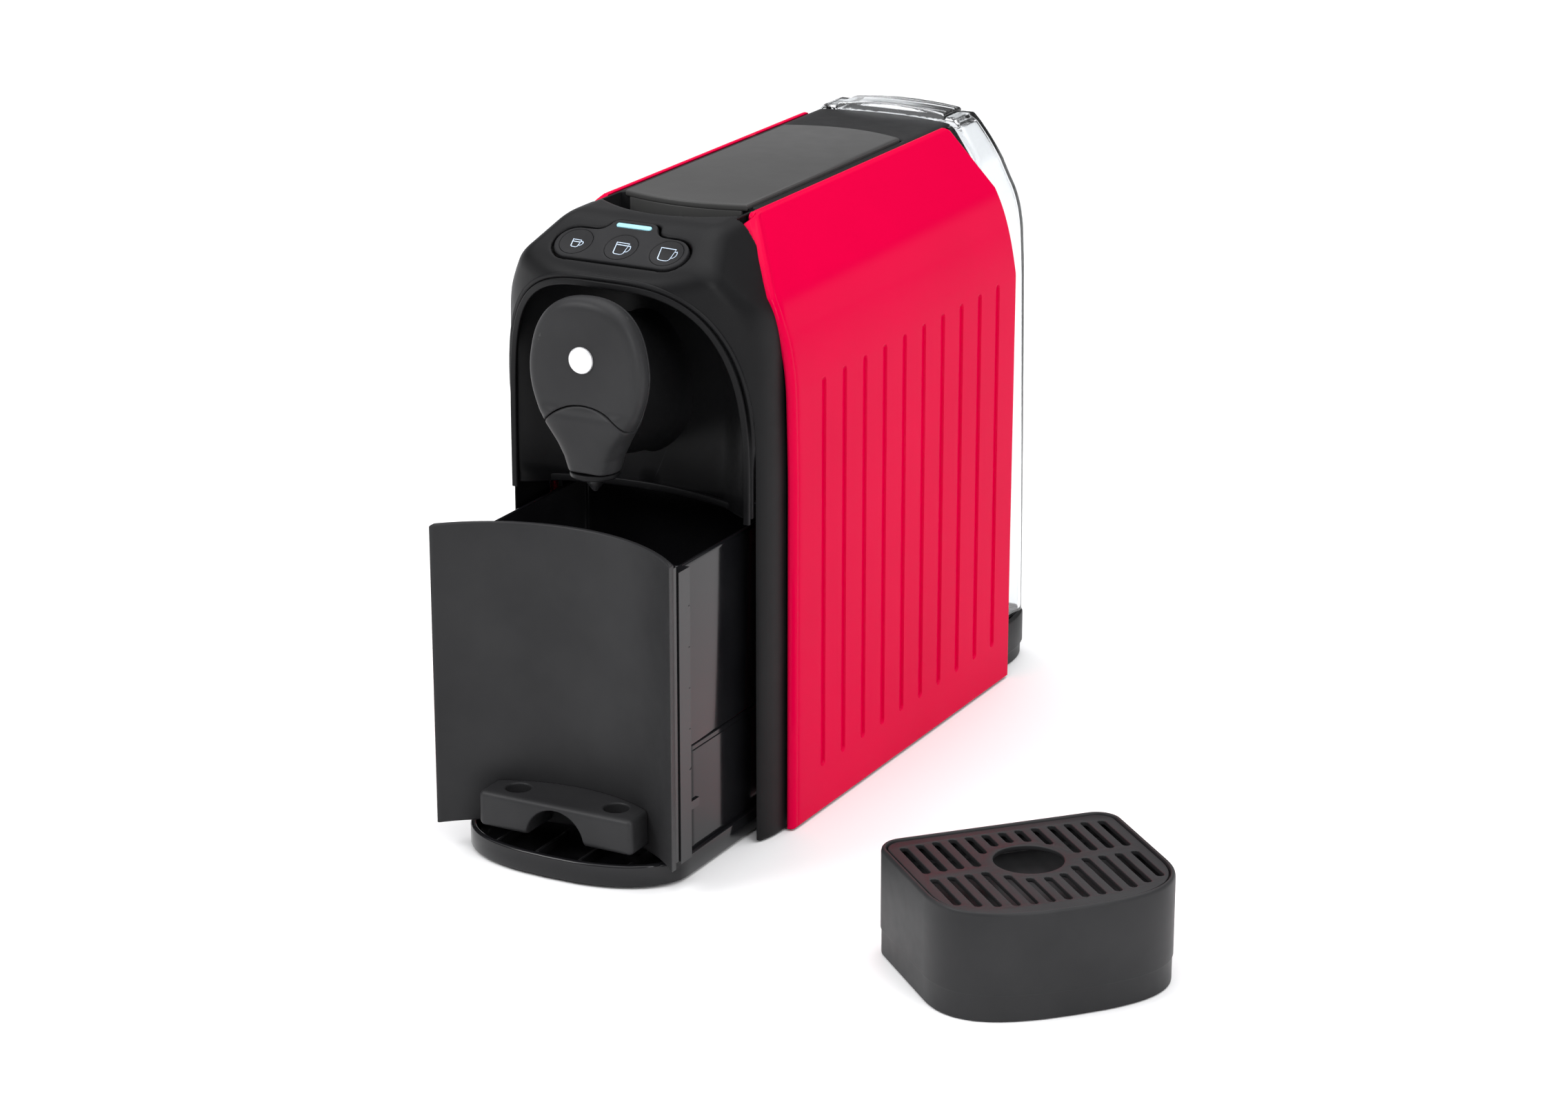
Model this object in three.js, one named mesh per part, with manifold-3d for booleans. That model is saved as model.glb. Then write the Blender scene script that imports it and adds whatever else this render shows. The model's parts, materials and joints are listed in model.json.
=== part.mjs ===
// Slim pod coffee machine with a pull-out drawer, and a cup tray standing beside it.
// Millimetres. X is the machine's right seen from the front, -Y its front, +Z up. The table is z = 0.
import * as THREE from 'three';
import { mergeVertices } from 'three/addons/utils/BufferGeometryUtils.js';
import Module from 'manifold-3d';

const wasm = await Module();
wasm.setup();

// ---- driving dimensions ----
const HALF_WIDTH = 61.5;
const PANEL_X = 64.5;
const BODY_TOP = 256.2;
const SPINE_HALF = 32.6;
const GAP = 0.3;
const SKIN = 2.6;
const BODY_BACK = 109.8;
const SEAM_Y = -98;
const FRONT_DEPTH = 41.5;
const FRONT_POWER = 2.2;
const ARCH_HALF = 55.9;
const ARCH_SPRING = 150;
const ARCH_RISE = 86.5;
const ARCH_POWER = 3.1;
const HOOD_SLOPE = 0.57;
const HOOD_Y = -123.3;
const HOOD_Z = 246.3;
const PANEL_RADIUS = 76;
const WALL_RADIUS = 116.6;
const WALL_CENTRE_Y = -219.6;
const DRAWER_OUT = 67.2;
const DRAWER_BACK = -74;
const BAY_BACK = -5;
const PANEL_SHUT_Y = -168.8;
const NICHE_FLOOR = 140.2;
const PANEL_CENTRE_Y = PANEL_SHUT_Y - DRAWER_OUT;
const PANEL_HALF = 55.2;
const PANEL_LOW = 11.6;
const PANEL_HIGH = 139.6;
const GROOVE_COUNT = 10;
const GROOVE_FIRST_Y = -72.8;
const GROOVE_PITCH = 18.25;
const GROOVE_WIDTH = 3.6;
const GROOVE_DEPTH = 0.9;
const SPOUT_Y = -146;
const BREW_Z = 200;
const LID_HINGE_Y = 62;
const LID_HINGE_Z = 247;
const TANK_FRONT = 110.8;
const TANK_BULGE = 4.2;
const TANK_BACK = 148;
const TANK_LOW = 18.3;
const TANK_HIGH = 255.4;
const DOCK_HIGH = 21;
const TRAY_X = 209.5;
const TRAY_Y = -177;
const TRAY_YAW = 47.5 * Math.PI / 180;
const TRAY_HIGH = 44;
const TRAY_HALF = 49.6;
const TRAY_PITCH = 6.84;

// ---- materials ----
const COLOURS = {
  red: 0xd4002f,
  black: 0x202123,
  charcoal: 0x35363a,
  gloss: 0x0e0f11,
  lid: 0x4a4b4c,
  clear: 0xc9d3d8,
  light: 0xa9d8ee,
  badge: 0xe4e6e8,
  steel: 0x9a9da1,
  rubber: 0x17181a,
  board: 0x1f5c38,
  hose: 0xd9dcd6,
};
const materials = {};
for (const [name, colour] of Object.entries(COLOURS)) {
  materials[name] = new THREE.MeshStandardMaterial({ color: colour, roughness: 0.45 });
}
materials.clear.transparent = true;
materials.clear.opacity = 0.4;

const model = new THREE.Group();
model.name = 'pod_coffee_machine';

// ---- solids ----
function solid(geometry) {
  geometry.deleteAttribute('normal');
  geometry.deleteAttribute('uv');
  const merged = mergeVertices(geometry, 1e-4);
  return new wasm.Manifold(new wasm.Mesh({
    numProp: 3,
    vertProperties: new Float32Array(merged.attributes.position.array),
    triVerts: new Uint32Array(merged.index.array),
  }));
}

function add(name, material, body) {
  const mesh = body.getMesh();
  const geometry = new THREE.BufferGeometry();
  geometry.setAttribute('position', new THREE.BufferAttribute(new Float32Array(mesh.vertProperties), 3));
  geometry.setIndex(new THREE.BufferAttribute(new Uint32Array(mesh.triVerts), 1));
  geometry.computeVertexNormals();
  const node = new THREE.Mesh(geometry, materials[material]);
  node.name = name;
  model.add(node);
}

function extrude(points, depth) {
  const shape = new THREE.Shape(points.map(([a, b]) => new THREE.Vector2(a, b)));
  return new THREE.ExtrudeGeometry(shape, { depth, bevelEnabled: false, steps: 1 });
}

// A prism with its outline in (x, y), (x, z) or (y, z), between two heights on the third axis.
function alongZ(points, low, high) {
  return solid(extrude(points, high - low).translate(0, 0, low));
}

function alongY(points, low, high) {
  return solid(extrude(points, high - low).rotateX(Math.PI / 2).translate(0, high, 0));
}

function alongX(points, low, high) {
  const turn = new THREE.Matrix4().makeBasis(
    new THREE.Vector3(0, 1, 0),
    new THREE.Vector3(0, 0, 1),
    new THREE.Vector3(1, 0, 0),
  );
  return solid(extrude(points, high - low).applyMatrix4(turn).translate(low, 0, 0));
}

function box(x0, x1, y0, y1, z0, z1) {
  const geometry = new THREE.BoxGeometry(x1 - x0, y1 - y0, z1 - z0);
  return solid(geometry.translate((x0 + x1) / 2, (y0 + y1) / 2, (z0 + z1) / 2));
}

// A rod about the axis 'x', 'y' or 'z' from low to high; centre holds its other two coordinates.
function rod(axis, radius, low, high, centre, segments = 24) {
  const geometry = new THREE.CylinderGeometry(radius, radius, high - low, segments);
  const middle = (low + high) / 2;
  if (axis === 'x') {
    return solid(geometry.rotateZ(-Math.PI / 2).translate(middle, centre[0], centre[1]));
  }
  if (axis === 'y') {
    return solid(geometry.translate(centre[0], middle, centre[1]));
  }
  return solid(geometry.rotateX(Math.PI / 2).translate(centre[0], centre[1], middle));
}

// A body of revolution about z; the profile is a list of [radius, z] that starts and ends on the axis
// or closes on itself.
function turned(profile, segments = 24) {
  const points = profile.map(([r, z]) => new THREE.Vector2(r, z));
  return solid(new THREE.LatheGeometry(points, segments).rotateX(Math.PI / 2));
}

// ---- outlines ----
function quadratic(a, b, c, steps) {
  const points = [];
  for (let i = 0; i <= steps; i += 1) {
    const t = i / steps;
    const s = 1 - t;
    points.push([
      s * s * a[0] + 2 * s * t * b[0] + t * t * c[0],
      s * s * a[1] + 2 * s * t * b[1] + t * t * c[1],
    ]);
  }
  return points;
}

function arc(cx, cy, radius, from, to, steps) {
  const points = [];
  for (let i = 0; i <= steps; i += 1) {
    const angle = from + (to - from) * i / steps;
    points.push([cx + radius * Math.cos(angle), cy + radius * Math.sin(angle)]);
  }
  return points;
}

// The half outline mirrored about the second axis and joined to itself.
function mirrored(half) {
  const other = half.filter(([a]) => Math.abs(a) > 1e-6).map(([a, b]) => [-a, b]).reverse();
  return [...half, ...other];
}

// An open line of points moved sideways by distance, to the left of its direction.
function shifted(points, distance) {
  return points.map((point, i) => {
    const before = points[Math.max(i - 1, 0)];
    const after = points[Math.min(i + 1, points.length - 1)];
    const dx = after[0] - before[0];
    const dy = after[1] - before[1];
    const length = Math.hypot(dx, dy);
    return [point[0] - dy / length * distance, point[1] + dx / length * distance];
  });
}

function roundedSlot(cx, low, high, width, steps = 3) {
  const r = width / 2;
  return [
    ...arc(cx, high - r, r, 0, Math.PI, steps),
    ...arc(cx, low + r, r, Math.PI, 2 * Math.PI, steps),
  ];
}

function roundedBox(x0, x1, y0, y1, r, steps = 3) {
  const quarter = Math.PI / 2;
  return [
    ...arc(x1 - r, y0 + r, r, -quarter, 0, steps),
    ...arc(x1 - r, y1 - r, r, 0, quarter, steps),
    ...arc(x0 + r, y1 - r, r, quarter, 2 * quarter, steps),
    ...arc(x0 + r, y0 + r, r, 2 * quarter, 3 * quarter, steps),
  ];
}

// Body cross-section seen from the front: upright sides, a rounded shoulder and a flat crown.
function sectionOutline(inset, low) {
  const right = [
    [HALF_WIDTH, low],
    ...quadratic([HALF_WIDTH, 196], [HALF_WIDTH, 215.7], [53.8, 227.1], 5),
    ...quadratic([37.2, 251.6], [34.1, BODY_TOP], [29.5, BODY_TOP], 4),
    [0, BODY_TOP],
  ];
  return mirrored(shifted(right, inset).map(([x, z], i) => (i === 0 ? [HALF_WIDTH - inset, low] : [x, z])));
}

function bodyPrism(inset, back, low = 0, front = -142) {
  return alongY(sectionOutline(inset, low), front, back);
}

// Plan curve of the front, a superellipse bulging from the side seams.
function frontY(x, inset = 0) {
  const ratio = Math.min(Math.abs(x) / (HALF_WIDTH - inset), 1);
  return SEAM_Y - (FRONT_DEPTH - inset) * (1 - ratio ** FRONT_POWER) ** (1 / FRONT_POWER);
}

function frontPrism(inset, back, low, high) {
  const half = [];
  const steps = 12;
  for (let i = 0; i <= steps; i += 1) {
    const x = (HALF_WIDTH - inset) * Math.sin(i / steps * Math.PI / 2);
    half.push([x, frontY(x, inset)]);
  }
  half.push([HALF_WIDTH - inset, back]);
  return alongZ(mirrored(half), low, high);
}

// Arch of the cup niche, seen from the front, from its right foot over the top to its left foot.
function archOutline(gap, foot, steps) {
  const points = [[ARCH_HALF - gap, foot]];
  for (let i = 0; i <= steps; i += 1) {
    const angle = i / steps * Math.PI;
    const c = Math.cos(angle);
    const power = 2 / ARCH_POWER;
    points.push([
      Math.sign(c) * (ARCH_HALF - gap) * Math.abs(c) ** power,
      ARCH_SPRING + (ARCH_RISE - gap) * Math.sin(angle) ** power,
    ]);
  }
  points.push([-(ARCH_HALF - gap), foot]);
  return points;
}

// Side panel outline seen from the side: leaning front edge, round corners at the top.
function sideOutline(grow) {
  return [
    [-99 - grow, 0.8 - grow],
    [BODY_BACK - 3 + grow, 0.8 - grow],
    [BODY_BACK + grow, 4],
    ...quadratic([111 + grow, 185], [111 + grow, 202], [107.2 + grow, 215], 4),
    ...quadratic([106.4 + grow, 236], [106.4 + grow, 256.5 + grow], [88, 256.5 + grow], 5),
    [86, 262],
    [-84 - grow, 262],
    ...quadratic([-84 - grow, 256.2], [-101 - grow, 251], [-102 - grow, 222], 5),
  ];
}

// Outer face of the gloss side panels seen from the front, standing proud of the body's section.
function panelSection(inset, low) {
  const right = shifted([
    [PANEL_X, low],
    ...quadratic([PANEL_X, 185], [PANEL_X, 212], [55.5, 228.5], 6),
    [38.6, 255],
    [36.6, 256.5],
    [33, 256.2],
    [0, 256.2],
  ], inset);
  right[0] = [PANEL_X - inset, low];
  return mirrored(right);
}

// ---- base ----
const baseOutline = [
  [58.6, -87],
  [58.6, 106],
  [-58.6, 106],
  [-58.6, -87],
  [-51.8, -87],
  [-51.8, BAY_BACK],
  [51.8, BAY_BACK],
  [51.8, -87],
];
const footSpots = {
  foot_front_left: [-55.2, -74, 2.8],
  foot_front_right: [55.2, -74, 2.8],
  foot_rear_left: [-46, 98, 6],
  foot_rear_right: [46, 98, 6],
};
let base = alongZ(baseOutline, 0, 5);
for (const [x, y, r] of Object.values(footSpots)) {
  base = base.subtract(rod('z', r + GAP, -1, 2.8, [x, y], 16));
}
add('chassis_base', 'black', base);
for (const [name, [x, y, r]] of Object.entries(footSpots)) {
  add(name, 'rubber', rod('z', r, 0, 2.5, [x, y], 16));
}

// ---- front housing: hood, pillars and the spine that runs over the top to the back ----
function hoodSide(inset) {
  const drop = inset * Math.hypot(1, HOOD_SLOPE);
  const heightAt = (y) => HOOD_Z + (y - HOOD_Y) * HOOD_SLOPE - drop;
  return [
    [-150, -2],
    [-150, heightAt(-150)],
    [-114, heightAt(-114)],
    ...quadratic([-112, heightAt(-112)], [-106, BODY_TOP - inset], [-98, BODY_TOP - inset], 4),
    [-98, 262],
    [40, 262],
    [40, -2],
  ];
}

const recessOutline = [
  ...quadratic([-30.5, -84], [0, -108], [30.5, -84], 8),
  [30.5, -70.2],
  [-30.5, -70.2],
];
const lidOutline = (grow) => [
  ...quadratic([-28.3 - grow, -71 - grow], [0, -81.5 - grow], [28.3 + grow, -71 - grow], 8),
  ...quadratic([28.3 + grow, 66 + grow], [0, 80 + grow], [-28.3 - grow, 66 + grow], 8),
];

const sideZone = alongX(sideOutline(GAP), -70, 70)
  .subtract(bodyPrism(SKIN + GAP, 130, -10))
  .subtract(box(-SPINE_HALF, SPINE_HALF, -150, 140, 150, 270));

const shell = bodyPrism(0, -88)
  .intersect(frontPrism(0, -80, -1, 270))
  .intersect(alongX(hoodSide(0), -70, 70));
const shellHollow = bodyPrism(5.4, -80, -10, -150)
  .intersect(frontPrism(3, -60, -10, 270))
  .intersect(alongX(hoodSide(3), -70, 70));
const spinePlan = [
  ...quadratic([SPINE_HALF, 107.5], [0, 119.5], [-SPINE_HALF, 107.5], 8),
  [-SPINE_HALF, -100],
  [SPINE_HALF, -100],
];
let spine = alongZ(spinePlan, 252.8, 262).intersect(bodyPrism(0, 130));
const lugRadius = 5.2;
for (const side of [-1, 1]) {
  const inner = Math.min(side * 23.5, side * 30);
  const outer = Math.max(side * 23.5, side * 30);
  spine = spine.add(rod('x', lugRadius, inner, outer, [LID_HINGE_Y, LID_HINGE_Z], 16));
  spine = spine.add(box(Math.min(side * 29, side * 32), Math.max(side * 29, side * 32), 56, 68, 241.8, 254));
}
const recessPan = alongZ(recessOutline.map(([x, y]) => [x * 1.05, y < -71 ? y - 1.5 : y + 1.5]), 243.5, 254);
const pad = padFrame();
let housing = shell.subtract(shellHollow)
  .add(spine)
  .add(recessPan.intersect(alongX(hoodSide(1), -70, 70)))
  .subtract(alongY(archOutline(0, -5, 28), -150, -100.5))
  .subtract(alongY([[55.9, -5], [55.9, 142.6], [-55.9, 142.6], [-55.9, -5]], -150, -60))
  .subtract(alongZ(recessOutline, 245, 262))
  .subtract(alongZ(lidOutline(0.5), 252, 262))
  .subtract(rod('x', 14.5, -28.8, 28.8, [LID_HINGE_Y, LID_HINGE_Z], 32).subtract(
    rod('x', 30, -40, 40, [LID_HINGE_Y - 30.5, LID_HINGE_Z], 32),
  ))
  .subtract(rod('x', 2.8, -28, 28, [LID_HINGE_Y, LID_HINGE_Z], 16))
  .subtract(sideZone)
  .subtract(pad.place(alongZ(pad.outline(0.5), -8, 8)));
for (const side of [-1, 1]) {
  const x0 = Math.min(side * 51.2, side * 57);
  const x1 = Math.max(side * 51.2, side * 57);
  housing = housing.add(alongZ(roundedBox(x0, x1, -119, -113.5, 2, 2), 0.4, 11.2));
}
add('front_housing', 'black', housing);

// ---- key pad ----
// The pad lies in the plane of the hood: local y runs up the slope and local z stands out of it.
function padFrame() {
  const tilt = Math.atan(HOOD_SLOPE) * 180 / Math.PI;
  return {
    place: (body) => body.rotate([tilt, 0, 0]).translate([0, HOOD_Y, HOOD_Z]),
    outline: (grow) => mirrored([
      [0, -8.8 - grow],
      ...arc(21.5, -0.3, 8.5 + grow, -Math.PI / 2, Math.PI / 2, 8),
      ...quadratic([16, 8.4 + grow], [12.5, 8.6 + grow], [10.8 + grow, 12], 3),
      ...quadratic([10.4 + grow, 13], [9.4 + grow, 15.2 + grow], [7, 15.2 + grow], 3),
    ]),
  };
}

const keySpots = { small_cup_button: -20.7, medium_cup_button: 0, large_cup_button: 20.7 };
const lightOutline = (grow) => roundedBox(-8 - grow, 8 + grow, 11 - grow, 13.2 + grow, 1.05 + grow, 3);
let padBody = alongZ(pad.outline(0), -3, 0.1).subtract(alongZ(lightOutline(0.15), -5, 2));
for (const x of Object.values(keySpots)) {
  padBody = padBody.subtract(rod('z', 7.15, -5, 2, [x, 0], 24));
}
add('keypad', 'rubber', pad.place(padBody));
for (const [name, x] of Object.entries(keySpots)) {
  const dish = turned([[0, -3.2], [6.85, -3.2], [6.85, -0.1], [5.6, -0.3], [3.6, -1.1], [0, -1.5]]);
  add(name, 'rubber', pad.place(dish.translate([x, 0, 0])));
}
add('status_light', 'light', pad.place(alongZ(lightOutline(0), -3, 0.15)));
add('button_board', 'board', pad.place(box(-26, 26, -6.5, 6.5, -6.4, -4.9)));

// ---- side panels ----
let rightPanel = alongY(panelSection(0, -5), -142, 130)
  .subtract(alongY(panelSection(SKIN, -10), -150, 140))
  .intersect(alongX(sideOutline(0), SPINE_HALF + GAP, 70));
for (let i = 0; i < GROOVE_COUNT; i += 1) {
  const groove = roundedSlot(GROOVE_FIRST_Y + GROOVE_PITCH * i, 20.5, 188.8, GROOVE_WIDTH);
  rightPanel = rightPanel.subtract(alongX(groove, PANEL_X - GROOVE_DEPTH, 70));
}
add('right_side_panel', 'red', rightPanel);
add('left_side_panel', 'red', rightPanel.mirror([1, 0, 0]));

// ---- cup niche lining ----
// Wall of the niche: a shallow upright curve that rounds forward to meet the arch.
function nicheWallY(x, fromRim) {
  const wall = WALL_CENTRE_Y + Math.sqrt(WALL_RADIUS ** 2 - x * x);
  const rim = Math.min(frontY(x), wall);
  const reach = Math.min(fromRim / 22, 1);
  return rim + (wall - rim) * Math.sqrt(1 - (1 - reach) ** 2);
}

function nicheSheet(gap, near, far) {
  const rim = archOutline(gap, NICHE_FLOOR, 24);
  const scales = [1, 0.985, 0.95, 0.88, 0.76, 0.5, 0.25];
  const layers = [near, far].map((offset) => scales.map((s) => rim.map(([x, z]) => {
    const px = x * s;
    const pz = NICHE_FLOOR + (z - NICHE_FLOOR) * s;
    const fromRim = Math.hypot(x - px, z - pz);
    return [px, nicheWallY(px, fromRim) + offset, pz];
  })));
  const centre = [near, far].map((offset) => [0, nicheWallY(0, 60) + offset, NICHE_FLOOR]);
  const positions = [...layers.flat(2), ...centre];
  const columns = rim.length;
  const rings = scales.length;
  const at = (layer, ring, i) => (layer * rings + ring) * columns + i;
  const hub = (layer) => 2 * rings * columns + layer;
  const faces = [];
  for (let i = 0; i < columns - 1; i += 1) {
    for (let ring = 0; ring < rings - 1; ring += 1) {
      faces.push(at(0, ring, i), at(0, ring + 1, i + 1), at(0, ring + 1, i));
      faces.push(at(0, ring, i), at(0, ring, i + 1), at(0, ring + 1, i + 1));
      faces.push(at(1, ring, i), at(1, ring + 1, i), at(1, ring + 1, i + 1));
      faces.push(at(1, ring, i), at(1, ring + 1, i + 1), at(1, ring, i + 1));
    }
    faces.push(at(0, rings - 1, i), at(0, rings - 1, i + 1), hub(0));
    faces.push(at(1, rings - 1, i + 1), at(1, rings - 1, i), hub(1));
    faces.push(at(0, 0, i + 1), at(0, 0, i), at(1, 0, i));
    faces.push(at(0, 0, i + 1), at(1, 0, i), at(1, 0, i + 1));
  }
  for (const [i, flip] of [[0, false], [columns - 1, true]]) {
    for (let ring = 0; ring < rings; ring += 1) {
      const inner = ring < rings - 1;
      const corners = [
        at(0, ring, i),
        inner ? at(0, ring + 1, i) : hub(0),
        inner ? at(1, ring + 1, i) : hub(1),
        at(1, ring, i),
      ];
      const [a, b, c, d] = flip ? [...corners].reverse() : corners;
      faces.push(a, b, c, a, c, d);
    }
  }
  const geometry = new THREE.BufferGeometry();
  geometry.setAttribute('position', new THREE.Float32BufferAttribute(positions.flat(), 3));
  geometry.setIndex(faces);
  return solid(geometry);
}

const nicheLining = nicheSheet(GAP, 0, 2.2).subtract(rod('y', 8.5, -130, -60, [0, BREW_Z], 20));
add('niche_lining', 'black', nicheLining);

// ---- spout head ----
const headHalf = [
  [0, 232.4],
  ...quadratic([8, 232.2], [20, 230], [24.4, 215], 4),
  ...quadratic([25.4, 211], [28.2, 200], [23.4, 188], 4),
  ...quadratic([21.5, 183.5], [17, 175], [12.6, 168], 3),
  ...quadratic([11.4, 165], [10.4, 162], [10.3, 158.4], 2),
  [0, 158.4],
];
const headOutline = mirrored(headHalf.map(([x, z]) => [-x, z]));

function headBody(front, back) {
  const bevel = 2;
  const shape = new THREE.Shape(headOutline.map(([x, z]) => new THREE.Vector2(x, z)));
  const geometry = new THREE.ExtrudeGeometry(shape, {
    depth: back - front - 2 * bevel,
    bevelThickness: bevel,
    bevelSize: bevel,
    bevelOffset: -bevel,
    bevelSegments: 2,
    steps: 1,
  });
  return solid(geometry.rotateX(Math.PI / 2).translate(0, back - bevel, 0));
}

const funnelBarrel = (grow) => turned([
  [0, 158.4 - grow], [10.3 + grow, 158.4 - grow], [10.5 + grow, 161], [12 + grow, 167], [15 + grow, 173.5],
  [18.4 + grow, 180], [20 + grow, 186 + grow], [0, 186 + grow],
], 28).translate([0, SPOUT_Y, 0]).intersect(box(-30, 30, -156, -128 + grow, 150, 190));
const head = headBody(-155.5, -143).add(funnelBarrel(0));
const seamCentre = 165.5;
const seamBelow = (gap) => rod('y', 23.5 + gap, -180, -100, [0, seamCentre], 40);
const neckSocket = rod('y', 6.6, -150, -60, [0, BREW_Z], 20);
add('spout_cover', 'charcoal', head.subtract(seamBelow(GAP)).subtract(neckSocket));
add('spout_funnel', 'charcoal', head.intersect(seamBelow(0)).subtract(
  rod('z', 4, 150, 164, [0, SPOUT_Y], 16),
));

// Neck sections from the head back to the wall: drops that sink and widen as they go.
// Each is [y, half width, height of the widest point, rise above it, fall below it].
const neckRings = [
  [-142.7, 22, 201, 28, 33],
  [-133, 21, 195, 30, 31],
  [-118, 20.4, 186, 33, 26],
  [-103, 20.5, 180, 35, 22],
  [-92, 21, 179, 35, 21],
];
function neckLoft() {
  const count = 24;
  const positions = [];
  for (const [y, half, z, rise, fall] of neckRings) {
    for (let i = 0; i < count; i += 1) {
      const angle = i / count * 2 * Math.PI;
      const height = Math.sin(angle);
      const pinch = height < 0 ? 1 - 0.35 * height * height : 1;
      positions.push(half * Math.cos(angle) * pinch, y, z + height * (height < 0 ? fall : rise));
    }
  }
  const last = neckRings.length - 1;
  positions.push(0, neckRings[0][0], neckRings[0][2], 0, neckRings[last][0], neckRings[last][2]);
  const faces = [];
  for (let i = 0; i < count; i += 1) {
    const j = (i + 1) % count;
    for (let ring = 0; ring < last; ring += 1) {
      const a = ring * count;
      const b = a + count;
      faces.push(a + i, b + j, a + j, a + i, b + i, b + j);
    }
    faces.push(neckRings.length * count, i, j);
    faces.push(neckRings.length * count + 1, last * count + j, last * count + i);
  }
  const geometry = new THREE.BufferGeometry();
  geometry.setAttribute('position', new THREE.Float32BufferAttribute(positions, 3));
  geometry.setIndex(faces);
  return solid(geometry);
}
add('spout_neck', 'black', neckLoft()
  .intersect(alongY(archOutline(1.5, 140, 28), -160, -60))
  .subtract(nicheSheet(GAP, -GAP, 60))
  .subtract(funnelBarrel(0.4))
  .subtract(neckSocket));

add('spout_collar', 'black', turned([
  [4.3, 155.4], [9.4, 155.4], [9.9, 155.9], [9.9, 158.1], [4.3, 158.1], [4.3, 155.4],
]).translate([0, SPOUT_Y, 0]));
add('outlet_nozzle', 'steel', turned([
  [0, 151.6], [0.7, 151.6], [3.8, 156.2], [3.8, 163], [0, 163],
], 20).translate([0, SPOUT_Y, 0]));
add('badge', 'badge', rod('y', 5.5, -156.4, -155.8, [0, 208], 24));

// ---- lever lid ----
let lid = alongZ(lidOutline(0), 252.6, 255.8)
  .add(alongZ(lidOutline(0), 246.6, 253).intersect(box(-26, 26, -90, -72.6, 240, 260)).subtract(
    alongZ(lidOutline(-2.2), 240, 260),
  ));
for (const side of [-1, 1]) {
  const x0 = Math.min(side * 16, side * 19.5);
  const x1 = Math.max(side * 16, side * 19.5);
  lid = lid.add(rod('x', 5, x0, x1, [LID_HINGE_Y, LID_HINGE_Z], 16));
  lid = lid.add(box(x0, x1, LID_HINGE_Y - 5, LID_HINGE_Y + 5, LID_HINGE_Z, 253));
}
lid = lid.subtract(rod('x', 2.8, -22, 22, [LID_HINGE_Y, LID_HINGE_Z], 16));
add('lever_lid', 'lid', lid);
add('lever_pin', 'steel', rod('x', 2.5, -26.5, 26.5, [LID_HINGE_Y, LID_HINGE_Z], 16));
for (const [name, side] of [['left_lever_arm', -1], ['right_lever_arm', 1]]) {
  const reach = [[60, 251.8], [40, 252.3], [24, 232], [21, 224], [27, 219], [33, 222], [54, 238]];
  const arm = alongX(reach, Math.min(side * 11, side * 14), Math.max(side * 11, side * 14));
  add(name, 'black', arm);
}

// ---- brewing unit ----
const rectTube = (x, y0, y1, wall, z0, z1) => alongZ(roundedBox(-x, x, y0, y1, 2, 2), z0, z1)
  .subtract(alongZ(roundedBox(-x + wall, x - wall, y0 + wall, y1 - wall, 1, 2), z0 - 1, z1 + 1));
add('capsule_chute', 'black', rectTube(21, -55, -16, 1.5, 224, 250.6));
let brewFrame = box(-27, 27, -60, 34, 172, 222)
  .subtract(box(-24.6, 24.6, -70, 40, 174.5, 230))
  .subtract(box(-20, 20, -56, -14, 160, 180));
add('brew_frame', 'black', brewFrame);
add('brew_chamber', 'black', rod('y', 21, -84, -61, [0, BREW_Z], 28)
  .subtract(rod('y', 18, -80, -50, [0, BREW_Z], 28))
  .add(rod('y', 6.2, -141.5, -83, [0, BREW_Z], 20))
  .subtract(rod('y', 3, -150, -70, [0, BREW_Z], 12))
  .subtract(box(-2.9, 2.9, -142, -139, 180, BREW_Z)));
add('piercing_plate', 'steel', rod('y', 17.6, -79.7, -78.2, [0, BREW_Z], 24)
  .subtract(rod('y', 3, -90, -70, [0, BREW_Z], 12)));
add('brew_piston', 'black', rod('y', 17, -50, -16, [0, BREW_Z], 24)
  .add(rod('y', 9, -17, -6, [0, BREW_Z], 16)));
add('piston_seal', 'rubber', rod('y', 16.6, -52.3, -50.3, [0, BREW_Z], 24)
  .subtract(rod('y', 11.5, -60, -40, [0, BREW_Z], 24)));
add('toggle_link', 'steel', alongX([[-5, 195.5], [8, 199], [8.5, 206], [2, 207], [-5.6, 204.5]], -4, 4));

// ---- water heating and supply ----
add('heater', 'steel', alongZ(roundedBox(-24, 24, 46, 92, 6, 2), 150, 196)
  .add(rod('z', 3.5, 195, 203, [-12, 60], 12))
  .add(rod('z', 3.5, 143, 151, [12, 80], 12)));
add('pump', 'black', rod('y', 19, 22, 72, [22, 46], 20)
  .add(rod('y', 11, 71, 92, [22, 46], 16))
  .add(rod('z', 3.5, 62, 72, [22, 40], 12)));
add('flow_meter', 'black', rod('z', 14, 30, 44, [-24, 84], 20)
  .add(rod('z', 3.5, 43, 50, [-24, 84], 12)));
add('circuit_board', 'board', box(-52.5, -50.9, 22, 104, 62, 142));

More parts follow.
